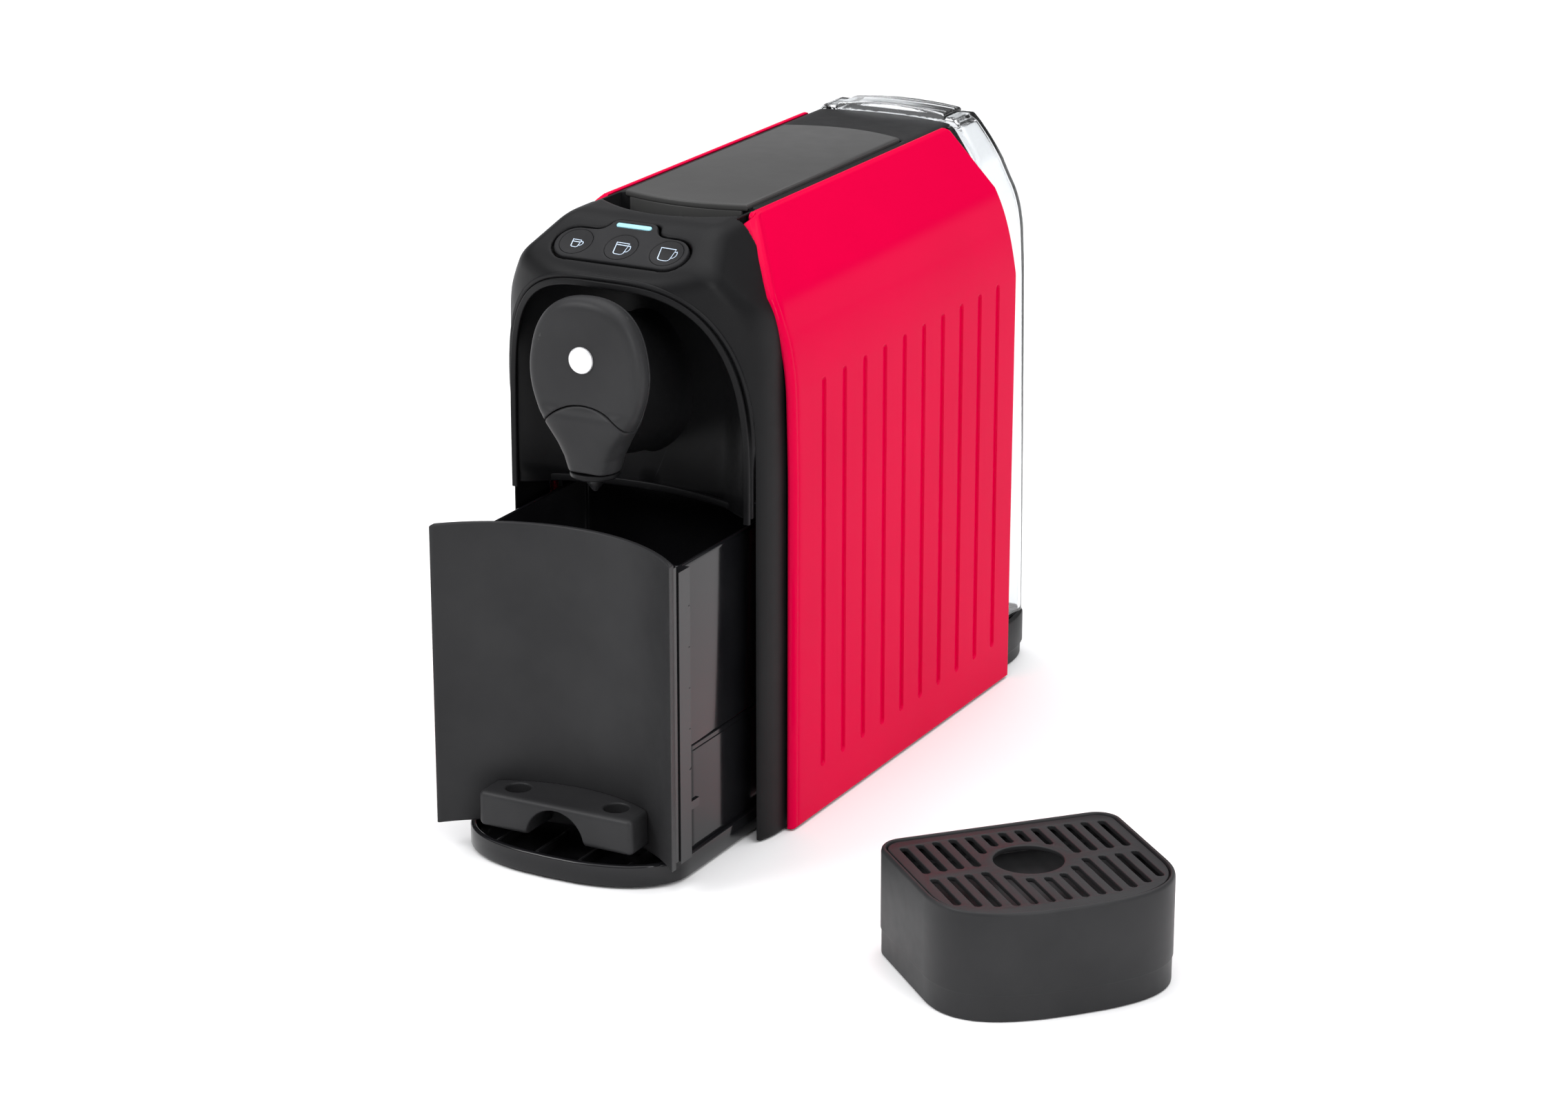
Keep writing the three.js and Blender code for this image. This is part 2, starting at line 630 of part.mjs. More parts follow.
function hose(points, radius) {
  const path = new THREE.CatmullRomCurve3(points.map(([x, y, z]) => new THREE.Vector3(x, y, z)));
  const ring = new THREE.Shape(arc(0, 0, radius, 0, 2 * Math.PI * 7 / 8, 7)
    .map(([a, b]) => new THREE.Vector2(a, b)));
  return solid(new THREE.ExtrudeGeometry(ring, { steps: 12, extrudePath: path, bevelEnabled: false }));
}
add('tank_hose', 'hose', hose(
  [[0, 104, 30], [-8, 99, 50], [-22, 90, 64], [-24, 84, 58], [-24, 84, 50.6]], 2.6,
));
add('pump_hose', 'hose', hose(
  [[22, 40, 72.6], [22, 40, 90], [16, 66, 120], [12, 80, 134], [12, 80, 142.4]], 2.6,
));
add('brew_hose', 'hose', hose([
  [-12, 60, 203.4], [-13, 58, 216], [-31, 42, 224], [-33, 0, 212], [-32, -56, 203], [-23.6, -70, 200],
], 2.4));

// ---- back panel and drawer bay ----
let backPanel = alongY(sectionOutline(SKIN + GAP, 5.3), BODY_BACK - 3.5, BODY_BACK)
  .subtract(box(-SPINE_HALF - GAP, SPINE_HALF + GAP, 90, 130, 252.5, 262));
const backRim = alongY(sectionOutline(SKIN + GAP, 5.3), 84, BODY_BACK - 2)
  .subtract(alongY(sectionOutline(SKIN + GAP + 2, 0), 80, 130));
for (const [x0, x1] of [[-70, -SPINE_HALF - GAP], [SPINE_HALF + GAP, 70]]) {
  backPanel = backPanel.add(backRim.intersect(box(x0, x1, 84, BODY_BACK, 226, 262)));
}
add('back_panel', 'black', backPanel.subtract(rod('y', 4, 95, 120, [0, 30], 16)));
add('drawer_bay', 'black', box(-53.4, 53.4, -87, BAY_BACK + 2, 5.3, 142.4)
  .subtract(box(-51.4, 51.4, -90, BAY_BACK, 0, 140.6))
  .subtract(box(-22, 22, -62, -12, 130, 150)));

// ---- drawer ----
const panelDisc = (radius, low, high) => alongZ(
  arc(0, PANEL_CENTRE_Y, radius, 0, 2 * Math.PI * 71 / 72, 71), low, high);
add('drawer_panel', 'charcoal', panelDisc(PANEL_RADIUS + 2.4, PANEL_LOW, PANEL_HIGH)
  .subtract(panelDisc(PANEL_RADIUS, 0, 200))
  .intersect(box(-PANEL_HALF, PANEL_HALF, -184, -150, 0, 200)));

let carrier = panelDisc(80.4, 14, 137.5)
  .subtract(panelDisc(78.7, 0, 200))
  .intersect(box(-54.2, 54.2, -181, -150, 0, 200));
for (const side of [-1, 1]) {
  const x0 = Math.min(side * 49.9, side * 54.2);
  const x1 = Math.max(side * 49.9, side * 54.2);
  let post = box(x0, x1, -174.8, -166, 12, 134.5);
  const clip = [side * 49.9, side * 51.6];
  post = post.add(box(Math.min(...clip), Math.max(...clip), -167, -155, 30, 33.5));
  for (let i = 0; i < 5; i += 1) {
    const z = 52.3 + 17.2 * i;
    const notch = alongX([[-167.6, z - 2.6], [-160, z - 2.6], [-160, z + 2.6]], -60, 60);
    post = post.subtract(notch.intersect(box(x0 - 2, x1 + 2, -180, -160, 0, 150)));
  }
  carrier = carrier.add(post);
}
add('drawer_carrier', 'gloss', carrier);

add('tray_bracket', 'charcoal', alongZ(roundedBox(-36, 36, -182.5, -150, 2, 2), 14, 29.3)
  .intersect(panelDisc(PANEL_RADIUS - GAP, 0, 50))
  .subtract(rod('y', 13.3, -190, -150, [0, 13.5], 24))
  .subtract(rod('z', 5.2, 22, 40, [-23, -172], 16))
  .subtract(rod('z', 5.2, 22, 40, [23, -172], 16)));

const plinthHalf = [
  [0, -189],
  ...quadratic([12, -188.6], [40, -186], [48.2, -169], 5),
  ...quadratic([49.2, -166.6], [50, -164], [50, -159], 2),
  [50, DRAWER_BACK],
  [0, DRAWER_BACK],
];
const plinthInner = [
  [0, -186.4],
  ...quadratic([12, -186], [38.6, -183.4], [46, -168], 5),
  [47.2, -157],
  [0, -157],
];
let drip = alongZ(mirrored(plinthHalf), 0.8, 10)
  .subtract(alongZ(mirrored(plinthInner), 3.2, 20))
  .add(box(-47.8, 47.8, -156.4, DRAWER_BACK, 2, 54))
  .subtract(box(-45.6, 45.6, -154.2, DRAWER_BACK - 2.2, 4, 60));
for (const x of [-30, -10, 10, 30]) {
  drip = drip.add(box(x - 0.8, x + 0.8, -181, -156.8, 3, 7));
}
drip = drip.subtract(panelDisc(80.7, 10.2, 60));
add('drip_base', 'gloss', drip);

const binOutline = (inset) => [
  [-47.8 + inset, DRAWER_BACK - inset],
  [-47.8 + inset, -163 + inset],
  [47.8 - inset, -163 + inset],
  [47.8 - inset, DRAWER_BACK - inset],
];
let bin = alongZ(binOutline(0), 54.4, 132.3)
  .subtract(alongZ(binOutline(2), 56.4, 140).subtract(panelDisc(83, 0, 200)))
  .subtract(panelDisc(81, 0, 200));
for (const y of [-140, -125, -110, -95]) {
  bin = bin.subtract(box(-30, 30, y - 1.5, y + 1.5, 50, 60));
}
add('capsule_container', 'gloss', bin);

// ---- water tank and dock ----
const tankSide = (inset) => {
  const line = shifted([
    [56, TANK_LOW],
    [52.5, 180],
    ...quadratic([51.6, 200], [51, 215], [48.5, 224], 3),
    ...quadratic([46, 234.5], [42, 245], [33, TANK_HIGH], 3),
    [0, TANK_HIGH],
  ], inset);
  line[0] = [56 - inset, TANK_LOW + inset];
  line[line.length - 1] = [0, TANK_HIGH - inset];
  return mirrored(line);
};
const tankPlan = (inset, back = TANK_BACK) => mirrored([
  ...quadratic([0, TANK_FRONT + TANK_BULGE + inset], [20, TANK_FRONT + TANK_BULGE + inset],
    [38, TANK_FRONT + inset], 5),
  [56.4 - inset, TANK_FRONT + inset],
  ...arc(56.4 - 9, back - 9, 9 - inset, 0, Math.PI / 2, 4),
  [0, back - inset],
]);
// Rear of the tank seen from the side: upright, then leaning forward over the top.
const tankRear = (inset) => alongX([
  [90, -5],
  [TANK_BACK - inset, -5],
  ...quadratic([TANK_BACK - inset, 188], [TANK_BACK - inset, 212], [140.5 - inset, 226], 4),
  ...quadratic([137 - inset, 234], [134.2 - inset, 243], [133.2 - inset, 252], 3),
  [131.8 - inset, 256],
  [90, 256],
], -70, 70);
let tank = alongY(tankSide(0), 100, 160)
  .intersect(alongZ(tankPlan(0), 0, 300))
  .intersect(tankRear(0))
  .subtract(alongY(tankSide(2.4), 100, 160).intersect(alongZ(tankPlan(2.4), 0, 251)).intersect(tankRear(2.4)))
  .subtract(box(-21, 21, 118.4, 129.6, 240, 270))
  .subtract(box(-26.8, 26.8, 100, 160, 253.4, 270))
  .subtract(rod('z', 6.3, 0, 30, [0, 131], 16));
add('water_tank', 'clear', tank);
const tankLidFace = [
  [-26.5, 253.7],
  [26.5, 253.7],
  [26.5, 255.8],
  ...quadratic([25.4, 257], [0, 260.2], [-25.4, 257], 6),
  [-26.5, 255.8],
];
add('tank_lid', 'clear', alongY(tankLidFace, 100, 131.6).intersect(alongZ(tankPlan(0.4), 200, 300)));
add('tank_valve', 'steel', turned([
  [0, 12], [4.2, 12], [4.2, 20], [6, 20], [6, 27], [3, 30], [0, 30],
], 16).translate([0, 131, 0]));
const dockHalf = [
  [0, TANK_FRONT - 0.5],
  [59.3, TANK_FRONT - 0.5],
  [59, 128],
  ...quadratic([58.6, 138], [57.8, 149.4], [47, 149.4], 4),
  [0, 149.4],
];
add('tank_dock', 'black', alongZ(mirrored(dockHalf), 0.3, DOCK_HIGH)
  .subtract(alongZ(tankPlan(-0.4), 18, 30))
  .subtract(rod('z', 4.6, 11, 30, [0, 131], 16))
  .subtract(rod('y', 5.3, 138, 155, [-40, 9], 16)));
add('cable_gland', 'rubber', rod('y', 5, 140, 149.2, [-40, 9], 16).subtract(
  rod('y', 2.6, 143, 155, [-40, 9], 12),
));

// ---- cup tray, standing beside the machine ----
const trayHalf = (inset) => shifted([
  [0, -42],
  ...quadratic([12, -41.7], [24, -40.6], [31, -38], 3),
  ...quadratic([37, -36], [TRAY_HALF, -31], [TRAY_HALF, -11], 5),
  ...arc(TRAY_HALF - 10, 32, 10, 0, Math.PI / 2, 4),
  [0, 42],
], inset).map(([x, y], i, all) => (i === 0 || i === all.length - 1 ? [0, y] : [x, y]));
const trayPrism = (inset, low, high) => alongZ(mirrored(trayHalf(inset)), low, high);
const standTray = (body) => body.rotate([0, 0, TRAY_YAW * 180 / Math.PI]).translate([TRAY_X, TRAY_Y, 0]);
const holeY = 6.8;

add('tray_body', 'charcoal', standTray(trayPrism(0, 0, TRAY_HIGH)
  .subtract(trayPrism(2.4, 33, 60))
  .subtract(trayPrism(2.4, -5, 31))
  .subtract(box(-37, 37, 27, 60, -5, 30.8))
  .add(trayPrism(2, 31, 41).subtract(trayPrism(4, 30, 50)))));

let grille = trayPrism(2.8, 41.4, 43.4).subtract(rod('z', 13.6, 30, 60, [0, holeY], 24));
for (let i = -6; i <= 6; i += 1) {
  const x = i * TRAY_PITCH;
  const lean = Math.abs(x) / TRAY_HALF;
  const keep = Math.abs(x) < 17.5 ? Math.sqrt(17.5 ** 2 - x * x) : 0;
  const rows = [
    [Math.max(5.5, holeY + keep), 35 - 3.5 * lean ** 4],
    [-33 + 16 * lean ** 3.2, keep > 0 ? Math.min(1.5, holeY - keep) : 1.5],
  ];
  for (const [low, high] of rows) {
    if (high - low > 5) {
      grille = grille.subtract(alongZ(roundedSlot(x, low, high, 3.1), 30, 60));
    }
  }
}
add('tray_grille', 'charcoal', standTray(grille));

export default model;
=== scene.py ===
"""Looks of the slim pod coffee machine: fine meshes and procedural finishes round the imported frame."""
import json
import math

import bmesh
import bpy
import numpy as np
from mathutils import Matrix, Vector


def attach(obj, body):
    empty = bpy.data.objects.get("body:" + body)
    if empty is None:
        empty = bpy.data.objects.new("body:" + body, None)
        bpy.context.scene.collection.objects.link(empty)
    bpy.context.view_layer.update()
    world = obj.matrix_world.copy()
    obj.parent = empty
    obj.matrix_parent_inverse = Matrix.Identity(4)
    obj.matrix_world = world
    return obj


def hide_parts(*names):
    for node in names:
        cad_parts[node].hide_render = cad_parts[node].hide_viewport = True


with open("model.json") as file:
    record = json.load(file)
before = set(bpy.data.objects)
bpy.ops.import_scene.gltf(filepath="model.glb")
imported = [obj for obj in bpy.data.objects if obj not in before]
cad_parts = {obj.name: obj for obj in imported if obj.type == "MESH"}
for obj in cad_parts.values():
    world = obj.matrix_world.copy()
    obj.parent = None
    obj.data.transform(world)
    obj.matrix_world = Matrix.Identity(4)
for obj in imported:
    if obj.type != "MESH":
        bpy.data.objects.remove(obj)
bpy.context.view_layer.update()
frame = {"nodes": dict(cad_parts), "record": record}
MM = 0.001

# ---- driving dimensions, in millimetres, repeated from the part ----
HALF_WIDTH = 61.5
PANEL_X = 64.5
PANEL_ROUND = 3.1
TANK_FRONT = 110.8
TANK_BULGE = 4.2
BODY_TOP = 256.2
SPINE_HALF = 32.6
SEAM_Y = -98.0
FRONT_DEPTH = 41.5
FRONT_POWER = 2.2
ARCH_HALF = 55.9
ARCH_SPRING = 150.0
ARCH_RISE = 86.5
ARCH_POWER = 3.1
HOOD_SLOPE = 0.57
HOOD_Y = -123.3
HOOD_Z = 246.3
WALL_RADIUS = 116.6
WALL_CENTRE_Y = -219.6
NICHE_FLOOR = 140.2
PANEL_RADIUS = 76.0
PANEL_CENTRE_Y = -236.0
SPOUT_Y = -146.0
TRAY_X, TRAY_Y, TRAY_YAW = 209.5, -177.0, math.radians(47.5)
TRAY_HALF = 49.6
TRAY_PITCH = 6.84
HOLE_Y = 6.8


# ---- mesh helpers ----
def mesh_object(name, verts, faces, smooth=True, angle=40):
    mesh = bpy.data.meshes.new(name)
    mesh.from_pydata([tuple(c * MM for c in v) for v in verts], [], faces)
    mesh.validate()
    bm = bmesh.new()
    bm.from_mesh(mesh)
    bmesh.ops.remove_doubles(bm, verts=bm.verts, dist=2e-6)
    bmesh.ops.recalc_face_normals(bm, faces=bm.faces)
    bm.to_mesh(mesh)
    bm.free()
    obj = bpy.data.objects.new(name, mesh)
    bpy.context.scene.collection.objects.link(obj)
    if smooth:
        shade(obj, angle)
    return obj


def shade(obj, angle=40):
    for poly in obj.data.polygons:
        poly.use_smooth = True
    sharp = math.radians(angle)
    bm = bmesh.new()
    bm.from_mesh(obj.data)
    for edge in bm.edges:
        if len(edge.link_faces) == 2 and edge.calc_face_angle(0) > sharp:
            edge.smooth = False
    bm.to_mesh(obj.data)
    bm.free()


def finish_piece(obj, nodes, body, material):
    """Stands the fine mesh in for its CAD nodes, on their body, with its finish."""
    obj.data.materials.clear()
    obj.data.materials.append(material)
    if nodes:
        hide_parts(*nodes)
    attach(obj, body)
    return obj


def arc(cx, cy, r, start, end, steps):
    return [(cx + r * math.cos(start + (end - start) * i / steps),
             cy + r * math.sin(start + (end - start) * i / steps)) for i in range(steps + 1)]


def quadratic(a, b, c, steps):
    out = []
    for i in range(steps + 1):
        t = i / steps
        out.append(tuple((1 - t) ** 2 * a[k] + 2 * t * (1 - t) * b[k] + t * t * c[k] for k in (0, 1)))
    return out


def mirrored(half):
    return half + [(-a, b) for a, b in reversed(half) if abs(a) > 1e-6]


def rounded_box(x0, x1, y0, y1, r, steps=8):
    q = math.pi / 2
    return (arc(x1 - r, y0 + r, r, -q, 0, steps) + arc(x1 - r, y1 - r, r, 0, q, steps)
            + arc(x0 + r, y1 - r, r, q, 2 * q, steps) + arc(x0 + r, y0 + r, r, 2 * q, 3 * q, steps))


def clean_loop(points):
    out = []
    for p in points:
        if not out or math.dist(p, out[-1]) > 1e-3:
            out.append(p)
    if math.dist(out[0], out[-1]) < 1e-3:
        out.pop()
    return out


def inset_loop(points, distance):
    """A closed anticlockwise loop moved inwards by distance along its corner bisectors."""
    count = len(points)
    out = []
    for i, (x, y) in enumerate(points):
        ax, ay = points[i - 1]
        bx, by = points[(i + 1) % count]
        d1 = Vector((x - ax, y - ay)).normalized()
        d2 = Vector((bx - x, by - y)).normalized()
        n1, n2 = Vector((-d1.y, d1.x)), Vector((-d2.y, d2.x))
        n = (n1 + n2)
        if n.length < 1e-6:
            n = n1
        n.normalize()
        scale = distance / max(n.dot(n1), 0.35)
        out.append((x + n.x * scale, y + n.y * scale))
    return out


def stack(name, outline, levels, closed_top=True, closed_bottom=True, to_world=None, angle=40):
    """Skins a closed solid from one outline: levels is a list of (inset, height)."""
    base = clean_loop(outline)
    area = sum(base[i - 1][0] * base[i][1] - base[i][0] * base[i - 1][1] for i in range(len(base)))
    if area < 0:
        base = base[::-1]
    count = len(base)
    verts, faces = [], []
    for inset, height in levels:
        verts += [(x, y, height) for x, y in inset_loop(base, inset)]
    for k in range(len(levels) - 1):
        for i in range(count):
            j = (i + 1) % count
            faces.append((k * count + i, k * count + j, (k + 1) * count + j, (k + 1) * count + i))
    if closed_bottom:
        faces.append(tuple(reversed(range(count))))
    if closed_top:
        faces.append(tuple((len(levels) - 1) * count + i for i in range(count)))
    if to_world:
        verts = [to_world(*v) for v in verts]
    return mesh_object(name, verts, faces, angle=angle)


def round_levels(low, high, r, steps=4, base_inset=0.0):
    """Levels of a slab whose top and bottom edges are rounded by r."""
    levels = [(base_inset + r * (1 - math.sin(a)), low + r * (1 - math.cos(a)))
              for a in (math.pi / 2 * i / steps for i in range(steps + 1))]
    levels += [(base_inset + r * (1 - math.cos(a)), high - r * (1 - math.sin(a)))
               for a in (math.pi / 2 * i / steps for i in range(steps + 1))]
    return levels


def y_up(x, z, y):
    """Turns an outline in (x, z) with depth y into machine axes."""
    return (x, y, z)


def turned(name, profile, centre, segments=64, axis="z"):
    verts, faces = [], []
    for r, h in profile:
        for i in range(segments):
            a = 2 * math.pi * i / segments
            if axis == "z":
                verts.append((centre[0] + r * math.cos(a), centre[1] + r * math.sin(a), centre[2] + h))
            else:
                verts.append((centre[0] + r * math.cos(a), centre[1] + h, centre[2] + r * math.sin(a)))
    for k in range(len(profile) - 1):
        for i in range(segments):
            j = (i + 1) % segments
            faces.append((k * segments + i, k * segments + j, (k + 1) * segments + j, (k + 1) * segments + i))
    for k in (0, len(profile) - 1):
        if profile[k][0] > 1e-4:
            faces.append(tuple(k * segments + i for i in range(segments)))
    return mesh_object(name, verts, faces)


# ---- solid fields: signed distances sampled on a grid, then skinned ----
def smooth_max(a, b, k):
    h = np.clip(0.5 + 0.5 * (a - b) / k, 0, 1)
    return b + (a - b) * h + k * h * (1 - h)


def smooth_min(a, b, k):
    return -smooth_max(-a, -b, k)


def polygon_field(px, py, points):
    """Signed distance from the points (px, py) to a closed polygon, negative inside."""
    points = clean_loop(points)
    best = np.full(np.broadcast(px, py).shape, 1e9)
    inside = np.zeros(best.shape, bool)
    for (ax, ay), (bx, by) in zip(points, points[1:] + points[:1]):
        ex, ey = bx - ax, by - ay
        wx, wy = px - ax, py - ay
        t = np.clip((wx * ex + wy * ey) / (ex * ex + ey * ey), 0, 1)
        best = np.minimum(best, (wx - ex * t) ** 2 + (wy - ey * t) ** 2)
        crosses = (ay > py) != (by > py)
        if abs(ey) > 1e-9:
            inside ^= crosses & (px < ex * (py - ay) / ey + ax)
    return np.where(inside, -1, 1) * np.sqrt(best)


def skin_field(name, field, origin, step, smooth_passes=1):
    """Surface nets: one vertex in each cell that the zero level crosses."""
    inside = field < 0
    nx, ny, nz = field.shape
    corners = [(i, j, k) for i in (0, 1) for j in (0, 1) for k in (0, 1)]
    total = np.zeros((nx - 1, ny - 1, nz - 1), np.int8)
    for i, j, k in corners:
        total += inside[i:nx - 1 + i, j:ny - 1 + j, k:nz - 1 + k]
    active = (total > 0) & (total < 8)
    cells = np.argwhere(active)
    index = -np.ones(active.shape, np.int64)
    index[tuple(cells.T)] = np.arange(len(cells))
    sums = np.zeros((len(cells), 3))
    count = np.zeros(len(cells))
    values = {c: field[cells[:, 0] + c[0], cells[:, 1] + c[1], cells[:, 2] + c[2]] for c in corners}
    for a in corners:
        for axis in range(3):
            if a[axis]:
                continue
            b = tuple(1 if n == axis else a[n] for n in range(3))
            va, vb = values[a], values[b]
            cross = (va < 0) != (vb < 0)
            t = np.where(cross, va / np.where(cross, va - vb, 1), 0)
            for n in range(3):
                sums[:, n] += np.where(cross, a[n] + (t if n == axis else 0), 0)
            count += cross
    points = (cells + sums / count[:, None]) * step + np.array(origin)
    faces = []
    for axis in range(3):
        u, v = (axis + 1) % 3, (axis + 2) % 3
        low = [slice(1, -1) if n != axis else slice(0, -1) for n in range(3)]
        high = [slice(1, -1) if n != axis else slice(1, None) for n in range(3)]
        a, b = inside[tuple(low)], inside[tuple(high)]
        for flip, where in ((False, a & ~b), (True, ~a & b)):
            at = np.argwhere(where)
            if not len(at):
                continue
            full = at + np.array([0 if n == axis else 1 for n in range(3)])
            quads = []
            for du, dv in ((0, 0), (-1, 0), (-1, -1), (0, -1)):
                cell = full.copy()
                cell[:, u] += du
                cell[:, v] += dv
                quads.append(index[tuple(cell.T)])
            quad = np.stack(quads, 1)
            faces.append(quad[:, ::-1] if flip else quad)
    faces = np.concatenate(faces)
    faces = faces[(faces >= 0).all(1)]
    if smooth_passes:
        points = relax(points, faces, smooth_passes)
    mesh = bpy.data.meshes.new(name)
    mesh.from_pydata((points * MM).tolist(), [], faces.tolist())
    mesh.validate()
    obj = bpy.data.objects.new(name, mesh)
    bpy.context.scene.collection.objects.link(obj)
    for poly in mesh.polygons:
        poly.use_smooth = True
    return obj


def relax(points, faces, passes):
    edges = np.concatenate([faces[:, [i, (i + 1) % 4]] for i in range(4)])
    for _ in range(passes):
        for weight in (0.5, -0.48):
            sums = np.zeros_like(points)
            count = np.zeros(len(points))
            np.add.at(sums, edges[:, 0], points[edges[:, 1]])
            np.add.at(sums, edges[:, 1], points[edges[:, 0]])
            np.add.at(count, edges[:, 0], 1)
            np.add.at(count, edges[:, 1], 1)
            points = points + weight * (sums / np.maximum(count, 1)[:, None] - points)
    return points


def field_axes(low, high, step):
    """Grid coordinates with open axes, so that two-axis outlines cost a plane and not a block."""
    axes = [np.arange(a, b + step, step) for a, b in zip(low, high)]
    return axes[0][:, None, None], axes[1][None, :, None], axes[2][None, None, :]


def mirror_x(obj):
    """Joins a half skinned at x >= 0 to its mirror image."""
    bm = bmesh.new()
    bm.from_mesh(obj.data)
    geom = bm.verts[:] + bm.edges[:] + bm.faces[:]
    bmesh.ops.bisect_plane(bm, geom=geom, plane_co=(0, 0, 0), plane_no=(1, 0, 0), clear_inner=True,
                           dist=1e-7)
    bmesh.ops.mirror(bm, geom=bm.verts[:] + bm.edges[:] + bm.faces[:], axis="X", merge_dist=2e-5)
    bmesh.ops.recalc_face_normals(bm, faces=bm.faces)
    for face in bm.faces:
        face.smooth = True
    bm.to_mesh(obj.data)
    bm.free()
    return obj


# ---- shared outlines ----
def section_right(inset=0.0, low=0.0, steps=24):
    points = [(HALF_WIDTH, low)]
    points += quadratic((HALF_WIDTH, 196), (HALF_WIDTH, 215.7), (53.8, 227.1), steps)
    points += quadratic((37.2, 251.6), (34.1, BODY_TOP), (29.5, BODY_TOP), steps)
    points.append((0, BODY_TOP))
    if not inset:
        return points
    out = []
    for i, (x, z) in enumerate(points):
        ax, az = points[max(i - 1, 0)]
        bx, bz = points[min(i + 1, len(points) - 1)]
        length = math.hypot(bx - ax, bz - az)
        out.append((x - (bz - az) / length * inset, z + (bx - ax) / length * inset))
    return out


def front_y(x, inset=0.0):
    ratio = np.minimum(np.abs(x) / (HALF_WIDTH - inset), 1)
    return SEAM_Y - (FRONT_DEPTH - inset) * (1 - ratio ** FRONT_POWER) ** (1 / FRONT_POWER)


def arch_outline(gap, foot, steps=96):
    points = [(ARCH_HALF - gap, foot)]
    for i in range(steps + 1):
        a = math.pi * i / steps
        c = math.cos(a)
        p = 2 / ARCH_POWER
        points.append((math.copysign((ARCH_HALF - gap) * abs(c) ** p, c),
                       ARCH_SPRING + (ARCH_RISE - gap) * max(math.sin(a), 0) ** p))
    points.append((-(ARCH_HALF - gap), foot))
    return points


def lid_outline(grow=0.0, steps=40):
    g = grow
    return (quadratic((-28.3 - g, -71 - g), (0, -81.5 - g), (28.3 + g, -71 - g), steps)
            + quadratic((28.3 + g, 66 + g), (0, 80 + g), (-28.3 - g, 66 + g), steps))


def recess_outline(grow=0.0, steps=40):
    g = grow
    return (quadratic((-30.5 - g, -84 - g), (0, -108 - g), (30.5 + g, -84 - g), steps)
            + [(30.5 + g, -70.2), (-30.5 - g, -70.2)])


def line_lookup(points, z):
    heights = np.maximum.accumulate([p[1] for p in points])
    return float(np.interp(z, heights, [p[0] for p in points]))


def panel_section(steps=24):
    """Outer face of a gloss panel, seen from the front; it stands proud of the black body."""
    points = [(PANEL_X, 0.8)]
    points += quadratic((PANEL_X, 185), (PANEL_X, 212), (55.5, 228.5), steps)
    points += quadratic((36.6, 253.4), (35.2, 255.0), (SPINE_HALF + 0.3, 254.5), 8)
    return points


def panel_front_y(z):
    """Front edge of the gloss panel at height z."""
    line = [(-98.8, 0)] + quadratic((-98.2, 149), (-99.2, 190), (-101.9, 218), 10)
    line += quadratic((-101.9, 218), (-102.5, 254.2), (-79, 254.2), 30)[1:]
    return line_lookup(line, z)


def panel_back_y(z):
    """Back edge of the gloss panel at height z."""
    line = [(109.7, 0)] + quadratic((109.9, 60), (110.5, 150), (110.8, 190), 6)
    line += quadratic((110.8, 190), (107.2, 204), (106.6, 226), 10)[1:]
    line += quadratic((106.6, 226), (108, 258.5), (88, 256.3), 24)[1:]
    return line_lookup(line, z)


def tray_to_world(x, y, z):
    c, s = math.cos(TRAY_YAW), math.sin(TRAY_YAW)
    return (TRAY_X + x * c - y * s, TRAY_Y + x * s + y * c, z)


HOOD_TILT = math.atan(HOOD_SLOPE)


def pad_to_world(x, v, n):
    c, s = math.cos(HOOD_TILT), math.sin(HOOD_TILT)
    return (x, HOOD_Y + v * c - n * s, HOOD_Z + v * s + n * c)


# ---- materials ----
def new_material(name, base, roughness, **sockets):
    material = bpy.data.materials.new(name)
    material.use_nodes = True
    shader = material.node_tree.nodes["Principled BSDF"]
    shader.inputs["Base Color"].default_value = (*base, 1)
    shader.inputs["Roughness"].default_value = roughness
    for key, value in sockets.items():
        shader.inputs[key.replace("_", " ")].default_value = value
    return material


def noise(material, scale, detail=4.0, roughness=0.5):
    nodes, links = material.node_tree.nodes, material.node_tree.links
    coords = nodes.new("ShaderNodeTexCoord")
    tex = nodes.new("ShaderNodeTexNoise")
    tex.inputs["Scale"].default_value = scale
    tex.inputs["Detail"].default_value = detail
    tex.inputs["Roughness"].default_value = roughness
    links.new(coords.outputs["Object"], tex.inputs["Vector"])
    return tex


def vary_roughness(material, scale, low, high):
    nodes, links = material.node_tree.nodes, material.node_tree.links
    span = nodes.new("ShaderNodeMapRange")
    span.inputs["To Min"].default_value = low
    span.inputs["To Max"].default_value = high
    links.new(noise(material, scale).outputs["Fac"], span.inputs["Value"])
    links.new(span.outputs["Result"], nodes["Principled BSDF"].inputs["Roughness"])


